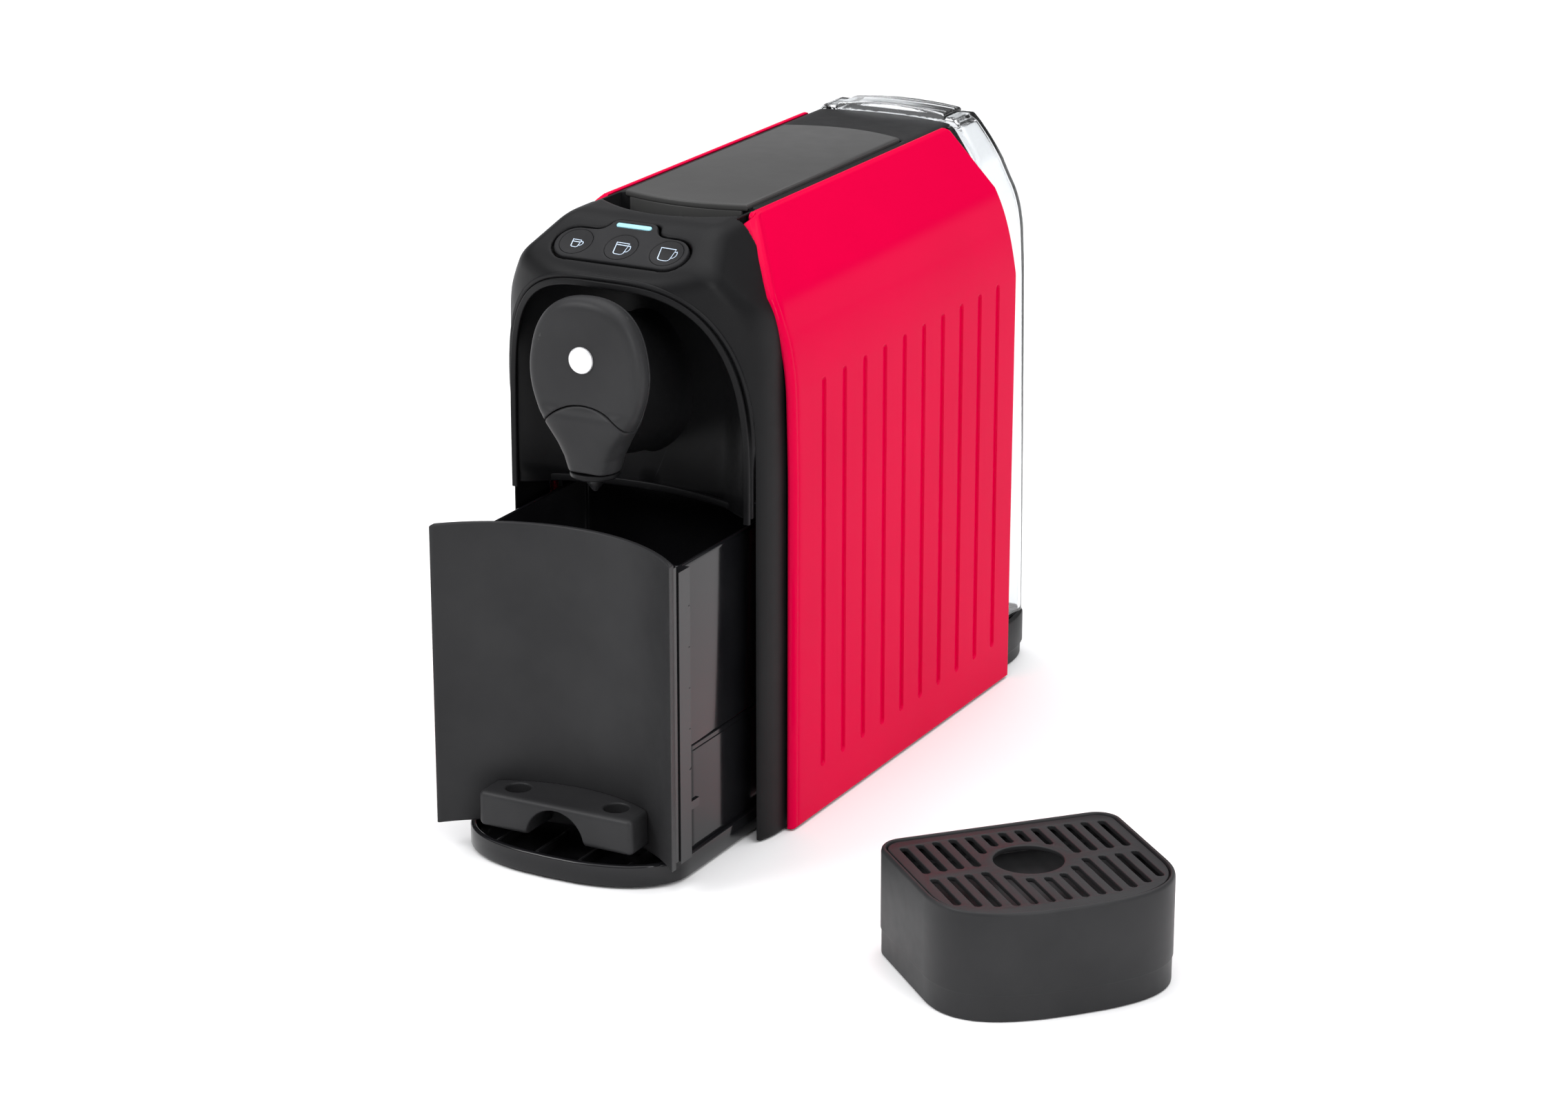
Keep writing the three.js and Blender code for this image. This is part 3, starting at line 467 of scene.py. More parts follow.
def vary_colour(material, scale, dark, light, edge=None):
    """Mottles the colour, and lightens it towards edge along the sharp convex corners as a painted highlight."""
    nodes, links = material.node_tree.nodes, material.node_tree.links
    ramp = nodes.new("ShaderNodeValToRGB")
    ramp.color_ramp.elements[0].position = 0.35
    ramp.color_ramp.elements[0].color = (*dark, 1)
    ramp.color_ramp.elements[1].position = 0.65
    ramp.color_ramp.elements[1].color = (*light, 1)
    links.new(noise(material, scale, 3).outputs["Fac"], ramp.inputs["Fac"])
    colour = ramp.outputs["Color"]
    # Painted highlight: the edge colour is mixed in where the surface is pointy, along convex edges.
    if edge:
        geometry = nodes.new("ShaderNodeNewGeometry")
        edge_highlight = nodes.new("ShaderNodeValToRGB")
        edge_highlight.color_ramp.elements[0].position = 0.55
        edge_highlight.color_ramp.elements[1].position = 0.75
        links.new(geometry.outputs["Pointiness"], edge_highlight.inputs["Fac"])
        mix = nodes.new("ShaderNodeMix")
        mix.data_type = "RGBA"
        links.new(edge_highlight.outputs["Color"], mix.inputs["Factor"])
        links.new(colour, mix.inputs["A"])
        mix.inputs["B"].default_value = (*edge, 1)
        colour = mix.outputs["Result"]
    links.new(colour, nodes["Principled BSDF"].inputs["Base Color"])


def grain(material, scale, strength, distance=0.0002, detail=2.0):
    nodes, links = material.node_tree.nodes, material.node_tree.links
    bump = nodes.new("ShaderNodeBump")
    bump.inputs["Strength"].default_value = strength
    bump.inputs["Distance"].default_value = distance
    links.new(noise(material, scale, detail).outputs["Fac"], bump.inputs["Height"])
    links.new(bump.outputs["Normal"], nodes["Principled BSDF"].inputs["Normal"])


def make_materials():
    made = {}
    red = new_material("red_gloss", (0.60, 0.0, 0.046), 0.16, Coat_Weight=0.05, Coat_Roughness=0.04,
                       Specular_IOR_Level=0.01)
    # The last colour in each vary_colour call in this function is a painted highlight on the sharp convex edges.
    vary_colour(red, 9, (0.60, 0.0, 0.040), (0.64, 0.0, 0.044), (0.72, 0.02, 0.07))
    vary_roughness(red, 30, 0.10, 0.16)
    grain(red, 260, 0.02, 0.0001)
    made["red"] = red
    black = new_material("satin_black", (0.006, 0.006, 0.0065), 0.42, Specular_IOR_Level=0.12)
    vary_colour(black, 30, (0.005, 0.005, 0.0055), (0.007, 0.007, 0.0075), (0.018, 0.018, 0.019))
    vary_roughness(black, 140, 0.36, 0.46)
    grain(black, 2600, 0.16, 0.0001, 3)
    made["black"] = black
    charcoal = new_material("satin_charcoal", (0.020, 0.020, 0.021), 0.45, Specular_IOR_Level=0.2)
    vary_colour(charcoal, 30, (0.017, 0.017, 0.018), (0.022, 0.022, 0.023), (0.04, 0.04, 0.041))
    vary_roughness(charcoal, 160, 0.40, 0.50)
    grain(charcoal, 2600, 0.12, 0.0001, 3)
    made["charcoal"] = charcoal
    gloss = new_material("gloss_black", (0.006, 0.006, 0.007), 0.14, Coat_Weight=0.15, Coat_Roughness=0.05,
                         Specular_IOR_Level=0.25)
    vary_colour(gloss, 30, (0.005, 0.005, 0.006), (0.008, 0.008, 0.009), (0.02, 0.02, 0.02))
    vary_roughness(gloss, 60, 0.09, 0.16)
    grain(gloss, 500, 0.02, 0.0001)
    made["gloss_black"] = gloss
    lid = new_material("lid_grey", (0.050, 0.050, 0.049), 0.4, Specular_IOR_Level=0.2)
    vary_colour(lid, 24, (0.047, 0.047, 0.046), (0.054, 0.054, 0.053), (0.08, 0.08, 0.08))
    vary_roughness(lid, 120, 0.36, 0.44)
    grain(lid, 2200, 0.08, 0.0001, 3)
    made["lid_grey"] = lid
    clear = new_material("clear_tank", (0.93, 0.95, 0.96), 0.05, Transmission_Weight=1.0, IOR=1.45)
    vary_roughness(clear, 40, 0.05, 0.12)
    grain(clear, 120, 0.03, 0.0002)
    made["clear"] = clear
    light = new_material("pale_light", (0.26, 0.54, 0.62), 0.3, Emission_Strength=0.15)
    light.node_tree.nodes["Principled BSDF"].inputs["Emission Color"].default_value = (0.42, 0.75, 0.9, 1)
    vary_roughness(light, 200, 0.25, 0.35)
    grain(light, 900, 0.05, 0.0001)
    made["light"] = light
    icon = new_material("icon_ink", (0.50, 0.60, 0.72), 0.5)
    vary_roughness(icon, 300, 0.45, 0.55)
    vary_colour(icon, 400, (0.48, 0.58, 0.70), (0.54, 0.64, 0.76))
    made["icon"] = icon
    badge = new_material("badge_silver", (0.72, 0.72, 0.73), 0.3, Metallic=0.6)
    vary_roughness(badge, 200, 0.25, 0.38)
    grain(badge, 1500, 0.05, 0.0001)
    made["badge"] = badge
    steel = new_material("brushed_steel", (0.30, 0.30, 0.31), 0.28, Metallic=1.0)
    vary_roughness(steel, 200, 0.22, 0.36)
    vary_colour(steel, 90, (0.27, 0.27, 0.28), (0.33, 0.33, 0.34))
    grain(steel, 900, 0.08, 0.0001)
    made["steel"] = steel
    cast = new_material("cast_metal", (0.45, 0.45, 0.46), 0.5, Metallic=1.0)
    vary_roughness(cast, 150, 0.42, 0.6)
    grain(cast, 500, 0.2)
    made["cast"] = cast
    rubber = new_material("soft_black", (0.014, 0.014, 0.015), 0.55, Specular_IOR_Level=0.15)
    vary_colour(rubber, 60, (0.012, 0.012, 0.013), (0.016, 0.016, 0.017), (0.030, 0.030, 0.031))
    vary_roughness(rubber, 200, 0.50, 0.60)
    grain(rubber, 3000, 0.08, 0.0001, 3)
    made["rubber"] = rubber
    board = new_material("board_green", (0.03, 0.16, 0.07), 0.45)
    vary_colour(board, 160, (0.02, 0.12, 0.05), (0.04, 0.2, 0.09))
    vary_roughness(board, 200, 0.35, 0.5)
    made["board"] = board
    hose = new_material("milky_hose", (0.66, 0.67, 0.63), 0.4)
    vary_roughness(hose, 120, 0.35, 0.48)
    grain(hose, 500, 0.05)
    made["hose"] = hose
    return made


MATERIALS = make_materials()


# ---- front housing: hood, pillars, arch and top spine, skinned from one field ----
def hood_side(inset):
    drop = inset * math.hypot(1, HOOD_SLOPE)

    def height(y):
        return HOOD_Z + (y - HOOD_Y) * HOOD_SLOPE - drop

    crown = BODY_TOP - inset
    return ([(-160, -20), (-160, height(-160)), (-114, height(-114))]
            + quadratic((-112, height(-112)), (-106, crown), (-98, crown), 16)
            + [(220, crown), (220, -20)])


def pad_outline(grow=0.0, steps=20):
    g = grow
    half = [(0.0, -8.8 - g)] + arc(21.5, -0.3, 8.5 + g, -math.pi / 2, math.pi / 2, steps)
    half += quadratic((16, 8.4 + g), (12.5, 8.6 + g), (10.8 + g, 12), 6)
    half += quadratic((10.4 + g, 13), (9.4 + g, 15.2 + g), (7, 15.2 + g), 6)
    return mirrored(half)


def housing_field(x, y, z):
    section = polygon_field(x, z, mirrored(section_right(0, -20)))
    plan_outline = [(HALF_WIDTH * math.sin(t), 0) for t in np.linspace(0, math.pi / 2, 48)]
    plan_outline = mirrored([(px, float(front_y(px))) for px, _ in plan_outline] + [(HALF_WIDTH, 200)])
    plan = polygon_field(x, y, plan_outline)
    hood = polygon_field(y, z, hood_side(0))
    body = smooth_max(smooth_max(section, plan, 5), hood, 7)
    floor = 0.3 - z
    body = smooth_max(body, floor, 1)
    # hollow behind the skin
    inner_section = polygon_field(x, z, mirrored(section_right(5.4, -20)))
    inner = np.maximum(np.maximum(inner_section, plan + 3), polygon_field(y, z, hood_side(3.0)))
    body = np.maximum(body, -inner)
    # back end: pillars and hood stop at y = -88, the spine runs on
    spine_back = 113.5 - 6 * (x / SPINE_HALF) ** 2
    spine = np.maximum(np.abs(x) - SPINE_HALF, np.maximum(252.9 - z, y - spine_back))
    fore = y + 88.0
    body = np.maximum(body, np.minimum(fore, spine))
    # arch and drawer opening
    arch = polygon_field(x, z, arch_outline(0, -30))
    arch = np.maximum(arch, y + 87.6)
    body = smooth_max(body, -arch, 1.6)
    # lid opening and finger recess
    lid = np.maximum(polygon_field(x, y, lid_outline(0.7)), 240 - z)
    body = smooth_max(body, -lid, 0.9)
    recess = np.maximum(polygon_field(x, y, recess_outline()), 245 - z)
    body = smooth_max(body, -recess, 2.2)
    # key pad pocket, in the slope's own axes
    c, s = math.cos(HOOD_TILT), math.sin(HOOD_TILT)
    v = (y - HOOD_Y) * c + (z - HOOD_Z) * s
    n = -(y - HOOD_Y) * s + (z - HOOD_Z) * c
    near = (y < -95) & (z > 225)
    pocket = np.full(np.broadcast(x, v).shape, 50.0, np.float32)
    where = np.broadcast_to(near, pocket.shape) & (np.abs(n) < 8) & (np.broadcast_to(np.abs(x), pocket.shape) < 36)
    px = np.broadcast_to(x, pocket.shape)[where]
    pv = np.broadcast_to(v, pocket.shape)[where]
    pocket[where] = polygon_field(px, pv, pad_outline(1.0, 12))
    pocket = np.maximum(pocket, -n - 6)
    return smooth_max(body, -pocket, 1.0)


def recess_pan():
    """Floor and walls of the finger recess, below the lip."""
    return stack("recess_pan", recess_outline(0.6, 24),
                 [(0, 254.0), (0, 243.6), (1.4, 243.6), (1.4, 245.0)], closed_bottom=False)


def make_housing():
    step = 0.62
    x, y, z = field_axes((-4 * step, -142, -2), (HALF_WIDTH + 2, -60, 258), step)
    front = mirror_x(skin_field("front_housing_fine", housing_field(x, y, z).astype(np.float32),
                                (-4 * step, -142, -2), step))
    finish_piece(front, ["front_housing"], "machine", MATERIALS["black"])
    y0 = -142 + step * math.ceil((-62 + 142) / step) - step
    x, y, z = field_axes((-4 * step, y0, 236), (SPINE_HALF + 4, 115, 258), step)
    rear = mirror_x(skin_field("top_spine_fine", housing_field(x, y, z).astype(np.float32),
                               (-4 * step, y0, 236), step))
    finish_piece(rear, [], "machine", MATERIALS["black"])


# ---- red side panels ----
def edge_distance(py, pv, line):
    """Distance from the points (py, pv) to an open line."""
    best = np.full(py.shape, 1e9)
    for (ax, ay), (bx, by) in zip(line, line[1:]):
        ex, ey = bx - ax, by - ay
        t = np.clip(((py - ax) * ex + (pv - ay) * ey) / (ex * ex + ey * ey + 1e-12), 0, 1)
        best = np.minimum(best, (py - ax - ex * t) ** 2 + (pv - ay - ey * t) ** 2)
    return np.sqrt(best)


def rolled(gap, radius):
    """How far a rounded edge falls away, at the distance gap from it."""
    reach = np.clip(radius - gap, 0, radius)
    return radius - np.sqrt(radius ** 2 - reach ** 2)


def make_side_panel(name, node, side):
    groove_ys = [-72.8 + 18.25 * i for i in range(10)]
    groove_low, groove_high, groove_half, groove_depth = 20.5, 188.8, 1.9, 1.0
    ys = list(np.linspace(-86, 98, 60))
    for gy in groove_ys:
        ys = [v for v in ys if abs(v - gy) > 2.6]
        ys += [gy + d for d in (-2.3, -1.95, -1.8, -1.6, -1.3, -0.7, 0, 0.7, 1.3, 1.6, 1.8, 1.95, 2.3)]
    ys = sorted(ys)
    front_steps = [0, 0.1, 0.3, 0.6, 1.0, 1.5, 2.1, 2.6, 3.1, 3.4, 3.7, 4.0, 4.4, 5.2, 7, 10]
    back_steps = [0, 0.1, 0.25, 0.5, 0.8, 1.2, 2.4, 5, 9]
    section = panel_section()
    lengths = [0.0]
    for a, b in zip(section, section[1:]):
        lengths.append(lengths[-1] + math.dist(a, b))
    total = lengths[-1]
    marks = list(lengths) + [0.1, 0.25, 0.5, 0.8, 1.2] + list(np.arange(18.9, 23.2, 0.3))
    marks += list(np.arange(186, 189.2, 0.3)) + list(np.linspace(25, 183, 20))
    marks += [total - e for e in (0.1, 0.25, 0.5, 0.8)]
    marks = np.array(sorted(set(np.round(marks, 3))))
    px = np.interp(marks, lengths, [p[0] for p in section])
    pz = np.interp(marks, lengths, [p[1] for p in section])
    front = np.array([panel_front_y(z) for z in pz])
    back = np.array([panel_back_y(z) for z in pz])
    ahead, behind = np.clip(marks + 0.6, 0, total), np.clip(marks - 0.6, 0, total)
    tx = np.interp(ahead, marks, px) - np.interp(behind, marks, px)
    tz = np.interp(ahead, marks, pz) - np.interp(behind, marks, pz)
    size = np.hypot(tx, tz)
    nx, nz = tz / size, -tx / size
    front_slope = np.gradient(front, marks)
    back_slope = np.gradient(back, marks)
    rows = []
    for k in range(len(marks)):
        stretch_front = min(math.hypot(1, front_slope[k]), 3)
        stretch_back = min(math.hypot(1, back_slope[k]), 3)
        lead = [front[k] + e * stretch_front for e in front_steps]
        tail = [back[k] - e * stretch_back for e in reversed(back_steps)]
        low, high = lead[-1] + 0.6, tail[0] - 0.6
        if pz[k] < 195:
            middle = ys
        else:
            middle = [low + (high - low) * (v - ys[0]) / (ys[-1] - ys[0]) for v in ys]
        middle = list(np.clip(middle, low, high))
        rows.append(lead + middle + tail)
    y = np.array(rows)
    mark = np.repeat(marks[:, None], y.shape[1], 1)
    gap_front = edge_distance(y, mark, list(zip(front, marks)))
    gap_back = edge_distance(y, mark, list(zip(back, marks)))
    dip = rolled(gap_front, PANEL_ROUND) + 0.3 * np.exp(-((gap_front - 3.9) / 0.55) ** 2)
    dip = np.maximum(dip, rolled(gap_back, 1.0))
    dip = np.maximum(dip, rolled(mark, 0.8))
    dip = np.maximum(dip, rolled(total - mark, 0.5))
    z_all = np.repeat(pz[:, None], y.shape[1], 1)
    for gy in groove_ys:
        beyond = np.maximum(np.maximum(groove_low + groove_half - z_all, z_all - groove_high + groove_half), 0)
        far = np.hypot(y - gy, beyond)
        dip = np.maximum(dip, groove_depth * np.clip((groove_half + 0.05 - far) / 0.35, 0, 1))
    verts = []
    for k in range(len(marks)):
        for i in range(y.shape[1]):
            verts.append((side * (px[k] - nx[k] * dip[k, i]), y[k, i], pz[k] - nz[k] * dip[k, i]))
    count = y.shape[1]
    faces = []
    for k in range(len(marks) - 1):
        for i in range(count - 1):
            faces.append((k * count + i, k * count + i + 1, (k + 1) * count + i + 1, (k + 1) * count + i))
    obj = mesh_object(name, verts, faces, angle=50)
    centre = obj.data.polygons[len(obj.data.polygons) // 3]
    if (centre.normal.x > 0) != (side > 0):
        obj.data.flip_normals()
    solid = obj.modifiers.new("thickness", "SOLIDIFY")
    solid.thickness = 1.7 * MM
    solid.offset = -1
    return finish_piece(obj, [node], "machine", MATERIALS["red"])


# ---- niche lining and spout neck ----
def niche_wall_y(x, from_rim):
    wall = WALL_CENTRE_Y + np.sqrt(WALL_RADIUS ** 2 - x * x)
    rim = np.minimum(front_y(x), wall)
    reach = np.minimum(from_rim / 22, 1)
    return rim + (wall - rim) * np.sqrt(1 - (1 - reach) ** 2)


def make_niche():
    rim = arch_outline(0.3, NICHE_FLOOR, 120)
    scales = [1 - 0.4 * (i / 26) ** 2 for i in range(27)] + [0.5, 0.4, 0.3, 0.2, 0.1]
    verts, faces = [], []
    count = len(rim)
    for s in scales:
        for x, z in rim:
            px, pz = x * s, NICHE_FLOOR + (z - NICHE_FLOOR) * s
            from_rim = math.hypot(x - px, z - pz)
            verts.append((px, float(niche_wall_y(px, from_rim)) + 0.15, pz))
    hub = len(verts)
    verts.append((0, float(niche_wall_y(0.0, 60)) + 0.15, NICHE_FLOOR))
    for k in range(len(scales) - 1):
        for i in range(count - 1):
            faces.append((k * count + i, k * count + i + 1, (k + 1) * count + i + 1, (k + 1) * count + i))
    for i in range(count - 1):
        faces.append(((len(scales) - 1) * count + i, (len(scales) - 1) * count + i + 1, hub))
    obj = mesh_object("niche_lining_fine", verts, faces, angle=60)
    if obj.data.polygons[0].normal.y > 0:
        obj.data.flip_normals()
    solid = obj.modifiers.new("thickness", "SOLIDIFY")
    solid.thickness = 1.9 * MM
    solid.offset = -1
    finish_piece(obj, ["niche_lining"], "machine", MATERIALS["black"])
    lip_path = [(x, float(niche_wall_y(x, 60))) for x in np.linspace(-54.6, 54.6, 61)]
    band = [(x, y - 1.2) for x, y in lip_path] + [(x, y + 0.6) for x, y in reversed(lip_path)]
    lip = stack("niche_lip", band, round_levels(NICHE_FLOOR + 0.1, NICHE_FLOOR + 3.2, 0.55, 3))
    finish_piece(lip, [], "machine", MATERIALS["black"])


def make_arch_bead():
    """Raised band that follows the arch between the hood and the lining."""
    rim = arch_outline(1.75, NICHE_FLOOR - 2, 140)
    section = rounded_box(-1.35, 1.35, -0.9, 0.9, 0.55, 4)
    verts, faces = [], []
    for i, (x, z) in enumerate(rim):
        ax, az = rim[max(i - 1, 0)]
        bx, bz = rim[min(i + 1, len(rim) - 1)]
        length = math.hypot(bx - ax, bz - az) or 1
        nx, nz = (bz - az) / length, -(bx - ax) / length
        y = float(front_y(x)) + 0.5
        verts += [(x + nx * a, y + b, z + nz * a) for a, b in section]
    count = len(section)
    for i in range(len(rim) - 1):
        for k in range(count):
            j = (k + 1) % count
            faces.append((i * count + k, i * count + j, (i + 1) * count + j, (i + 1) * count + k))
    faces.append(tuple(range(count)))
    faces.append(tuple((len(rim) - 1) * count + k for k in range(count)))
    bead = mesh_object("arch_bead", verts, faces)
    finish_piece(bead, [], "machine", MATERIALS["black"])


def make_neck():
    rings = [(-143.5, 21.6, 201, 28, 33), (-140, 21.4, 199, 28.6, 32.3), (-133, 20.8, 195, 30, 31),
             (-125, 20.4, 190, 31.5, 28.5), (-118, 20.3, 186, 33, 26), (-110, 20.4, 182.4, 34.4, 23.4),
             (-105, 21.4, 180.4, 35.6, 23), (-102, 23, 180, 37, 24), (-99, 26, 180, 40, 26)]
    count = 96
    verts, faces = [], []
    for y, half, z, rise, fall in rings:
        for i in range(count):
            a = 2 * math.pi * i / count
            h = math.sin(a)
            pinch = 1 - 0.35 * h * h if h < 0 else 1
            verts.append((half * math.cos(a) * pinch, y, z + h * (fall if h < 0 else rise)))
    for k in range(len(rings) - 1):
        for i in range(count):
            j = (i + 1) % count
            faces.append((k * count + i, k * count + j, (k + 1) * count + j, (k + 1) * count + i))
    faces.append(tuple(range(count)))
    faces.append(tuple((len(rings) - 1) * count + i for i in range(count)))
    neck = mesh_object("spout_neck_fine", verts, faces, angle=50)
    finish_piece(neck, ["spout_neck"], "machine", MATERIALS["black"])


# ---- spout head ----
def head_outline(steps=16):
    half = [(0, 171)] + quadratic((0, 171), (13, 171.5), (21.5, 183.5), steps)[1:]
    half += quadratic((21.5, 183.5), (28.0, 196.5), (25.2, 210), steps)[1:]
    half += quadratic((25.2, 210), (21.5, 232.4), (0, 232.4), steps)[1:]
    return mirrored(half)


def head_field(x, y, z):
    outline = polygon_field(x, z, head_outline())
    dome = -155.4 + 0.0012 * (x * x + (z - 200) ** 2)
    slab = np.maximum(dome - y, y + 143.2)
    plate = smooth_max(outline, slab, 5.0)
    r = np.sqrt(x * x + (y - SPOUT_Y) ** 2)
    profile_z = np.array([150, 158.4, 161, 167, 173.5, 180, 188, 200])
    profile_r = np.array([10.2, 10.2, 10.5, 12.2, 15.2, 18.6, 21, 23])
    radius = np.interp(z.ravel(), profile_z, profile_r)[None, None, :]
    barrel = (r - radius) * 0.86
    barrel = smooth_max(barrel, 160.9 - z, 0.5)
    barrel = smooth_max(barrel, z - 186, 3)
    barrel = smooth_max(barrel, np.maximum(-156.6 - y, y + 130), 4)
    return smooth_min(plate, barrel, 3.0)


def make_spout_head():
    step = 0.42
    low, high = (-4 * step, -158, 156), (30, -126, 235)
    x, y, z = field_axes(low, high, step)
    whole = head_field(x, y, z)
    seam = np.sqrt(x * x + (z - 165.5) ** 2) - 23.5
    groove = smooth_max(np.abs(y + 146.6) - 0.35, -(polygon_field(x, z, head_outline()) + 0.7), 0.3)
    cover = smooth_max(whole, 0.25 - seam, 0.7)
    cover = smooth_max(cover, -groove, 0.4)
    funnel = smooth_max(whole, seam + 0.1, 0.7)
    for name, field, node in (("spout_cover_fine", cover, "spout_cover"),
                              ("spout_funnel_fine", funnel, "spout_funnel")):
        obj = mirror_x(skin_field(name, field.astype(np.float32), low, step))
        finish_piece(obj, [node], "machine", MATERIALS["charcoal"])
    collar = turned("spout_collar_fine", [(4, 158.2), (9.4, 158.2), (9.9, 158.6), (10.1, 159.1),
                                          (10.1, 160.2), (9.8, 160.5), (4, 160.5)], (0, SPOUT_Y, 0))
    finish_piece(collar, ["spout_collar"], "machine", MATERIALS["black"])
    nozzle = turned("outlet_nozzle_fine", [(0.0, 151.6), (0.55, 151.65), (0.9, 151.9), (1.5, 152.8), (2.8, 154.6),
                                           (4.2, 156.6), (4.6, 157.6), (4.6, 158.0), (3.8, 158.0), (3.8, 160)], (0, SPOUT_Y, 0))
    finish_piece(nozzle, ["outlet_nozzle"], "machine", MATERIALS["steel"])
    badge = turned("badge_fine", [(0, -156.3), (4.2, -156.3), (4.5, -156.35), (4.9, -156.4), (5.2, -156.3),
                                  (5.4, -156.0), (5.4, -155.0), (0, -155.0)], (0, 0, 208), axis="y")
    finish_piece(badge, ["badge"], "machine", MATERIALS["badge"])


# ---- key pad ----
KEYS = (("small_cup_button", "small_key", -20.7, (3.7, 4.0)),
        ("medium_cup_button", "medium_key", 0.0, (5.6, 6.2)),
        ("large_cup_button", "large_key", 20.7, (6.6, 6.6)))
DISH_RADIUS = 7.0


def dish_depth(r):
    """Depth of a key's dish below the pad, at distance r from its centre."""
    t = np.clip(r / 8.4, 0, 1)
    return 1.55 * (1 - t * t) ** 2 - 0.0


def make_keypad():
    step = 0.32
    low, high = (-4 * step, -10.4, -3.2), (31.2, 16.6, 1.6)
    x, v, n = field_axes(low, high, step)
    outline = polygon_field(x, v, pad_outline(0.0, 24))
    top = np.zeros(np.broadcast(x, v).shape)
    for _, _, kx, _ in KEYS:
        if kx >= 0:
            top = np.maximum(top, dish_depth(np.sqrt((x - kx) ** 2 + v * v)))
    pad = smooth_max(outline, n - 0.35 + top, 1.0)
    pad = np.maximum(pad, -2.6 - n)
    for kx in (0.0, 20.7):
        hole = np.sqrt((x - kx) ** 2 + v * v) - DISH_RADIUS - 0.06
        pad = np.maximum(pad, -np.maximum(hole, -2.9 - n))
    slot = polygon_field(x, v, rounded_box(-8.15, 8.15, 10.85, 13.35, 1.2, 6))
    pad = smooth_max(pad, -slot, 0.4)
    obj = mirror_x(skin_field("keypad_fine", pad.astype(np.float32), low, step))
    for vert in obj.data.vertices:
        vert.co = Vector([c * MM for c in pad_to_world(*(c / MM for c in vert.co))])
    finish_piece(obj, ["keypad"], "machine", MATERIALS["rubber"])
    lamp = stack("status_light_fine", rounded_box(-8, 8, 11, 13.2, 1.05, 6), round_levels(-2, 0.55, 0.4, 3),
                 to_world=pad_to_world)
    finish_piece(lamp, ["status_light"], "machine", MATERIALS["light"])
    for node, body, kx, size in KEYS:
        profile = [(r, 0.35 - float(dish_depth(np.array(r)))) for r in np.linspace(0.0, DISH_RADIUS - 0.12, 14)]
        profile += [(DISH_RADIUS - 0.02, profile[-1][1] - 0.12), (DISH_RADIUS - 0.02, -2.6), (0, -2.6)]
        key = turned(node + "_fine", profile, (kx, 0, 0), 72)
        for vert in key.data.vertices:
            vert.co = Vector([c * MM for c in pad_to_world(*(c / MM for c in vert.co))])
        finish_piece(key, [node], body, MATERIALS["rubber"])
        make_cup_icon(node + "_icon", body, kx, size)


def ribbon(name, lines, width, lift, centre):
    """Flat printed strokes that follow the dish, each a strip with a little thickness."""
    verts, faces = [], []

    def put(x, v, extra):
        r = math.hypot(x - centre, v)
        return pad_to_world(x, v, 0.35 - float(dish_depth(np.array(r))) + extra)

    for line, closed in lines:
        count = len(line)
        first = len(verts)
        for i, (x, v) in enumerate(line):
            a = line[i - 1] if (i or closed) else line[0]
            b = line[(i + 1) % count] if (i < count - 1 or closed) else line[-1]
            length = math.hypot(b[0] - a[0], b[1] - a[1]) or 1
            nx, nv = -(b[1] - a[1]) / length, (b[0] - a[0]) / length
            for side in (-1, 1):
                verts.append(put(x + side * nx * width / 2, v + side * nv * width / 2, lift))
            for side in (-1, 1):
                verts.append(put(x + side * nx * width / 2, v + side * nv * width / 2, -0.08))
        for i in range(count if closed else count - 1):
            a, b = first + 4 * i, first + 4 * ((i + 1) % count)
            faces += [(a, b, b + 1, a + 1), (a + 2, a + 3, b + 3, b + 2), (a, a + 2, b + 2, b), (a + 1, b + 1, b + 3, a + 3)]
        if not closed:
            a, b = first, first + 4 * (count - 1)
            faces += [(a, a + 1, a + 3, a + 2), (b, b + 2, b + 3, b + 1)]
    return mesh_object(name, verts, faces, smooth=False)


def make_cup_icon(name, body, cx, size):
    """Outline of a cup that tapers downwards, with a handle on its right and a fill line."""
    w, h = size[0] / 2, size[1] / 2
    r, foot = 0.45 * w, 0.80 * w
    cup = [(-w, h), (-foot, -h + r)] + arc(-foot + r, -h + r, r, math.pi, 1.5 * math.pi, 6)
    cup += arc(foot - r, -h + r, r, 1.5 * math.pi, 2 * math.pi, 6) + [(foot, -h + r), (w, h)]
    loops = [([(x + cx - 0.6, v) for x, v in clean_loop(cup)], True)]
    grip = [(w * 0.97, h * 0.62)] + quadratic((w + 1.0, h * 0.62), (w + 2.0, h * 0.05), (w + 0.6, -h * 0.38), 8)
    grip.append((w * 0.86, -h * 0.40))
    loops.append(([(x + cx - 0.6, v) for x, v in grip], False))
    if w < 3:
        loops.append(([(cx - 0.6 - w * 0.9, h - 1.0), (cx - 0.6 + w * 0.9, h - 1.0)], False))
    icon = ribbon(name, loops, 0.36, 0.05, cx)
    finish_piece(icon, [], body, MATERIALS["icon"])


# ---- lever lid ----
def make_lid():
    lid = stack("lever_lid_fine", lid_outline(0, 64), round_levels(252.7, 255.8, 1.1, 5))
    finish_piece(lid, [], "lever", MATERIALS["lid_grey"])
    curve = quadratic((-28.3, -71), (0, -81.5), (28.3, -71), 48)
    lip = [p for p in curve if abs(p[0]) <= 26.2]
    band = [(x, y + 0.25) for x, y in lip] + [(x, y + 2.2) for x, y in reversed(lip)]
    front = stack("lever_lid_lip", band, round_levels(246.8, 253.2, 0.6, 3))
    finish_piece(front, [], "lever", MATERIALS["lid_grey"])
    for side in (-1, 1):
        x0, x1 = sorted((side * 16, side * 19.5))
        hull = arc(62, 247, 4.9, math.pi, 2 * math.pi, 16) + [(66.9, 253), (57.1, 253)]
        lug = stack("lid_lug_left" if side < 0 else "lid_lug_right", hull, round_levels(x0, x1, 0.4, 2),
                    to_world=lambda y, z, x: (x, y, z))
        finish_piece(lug, [], "lever", MATERIALS["lid_grey"])
    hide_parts("lever_lid")


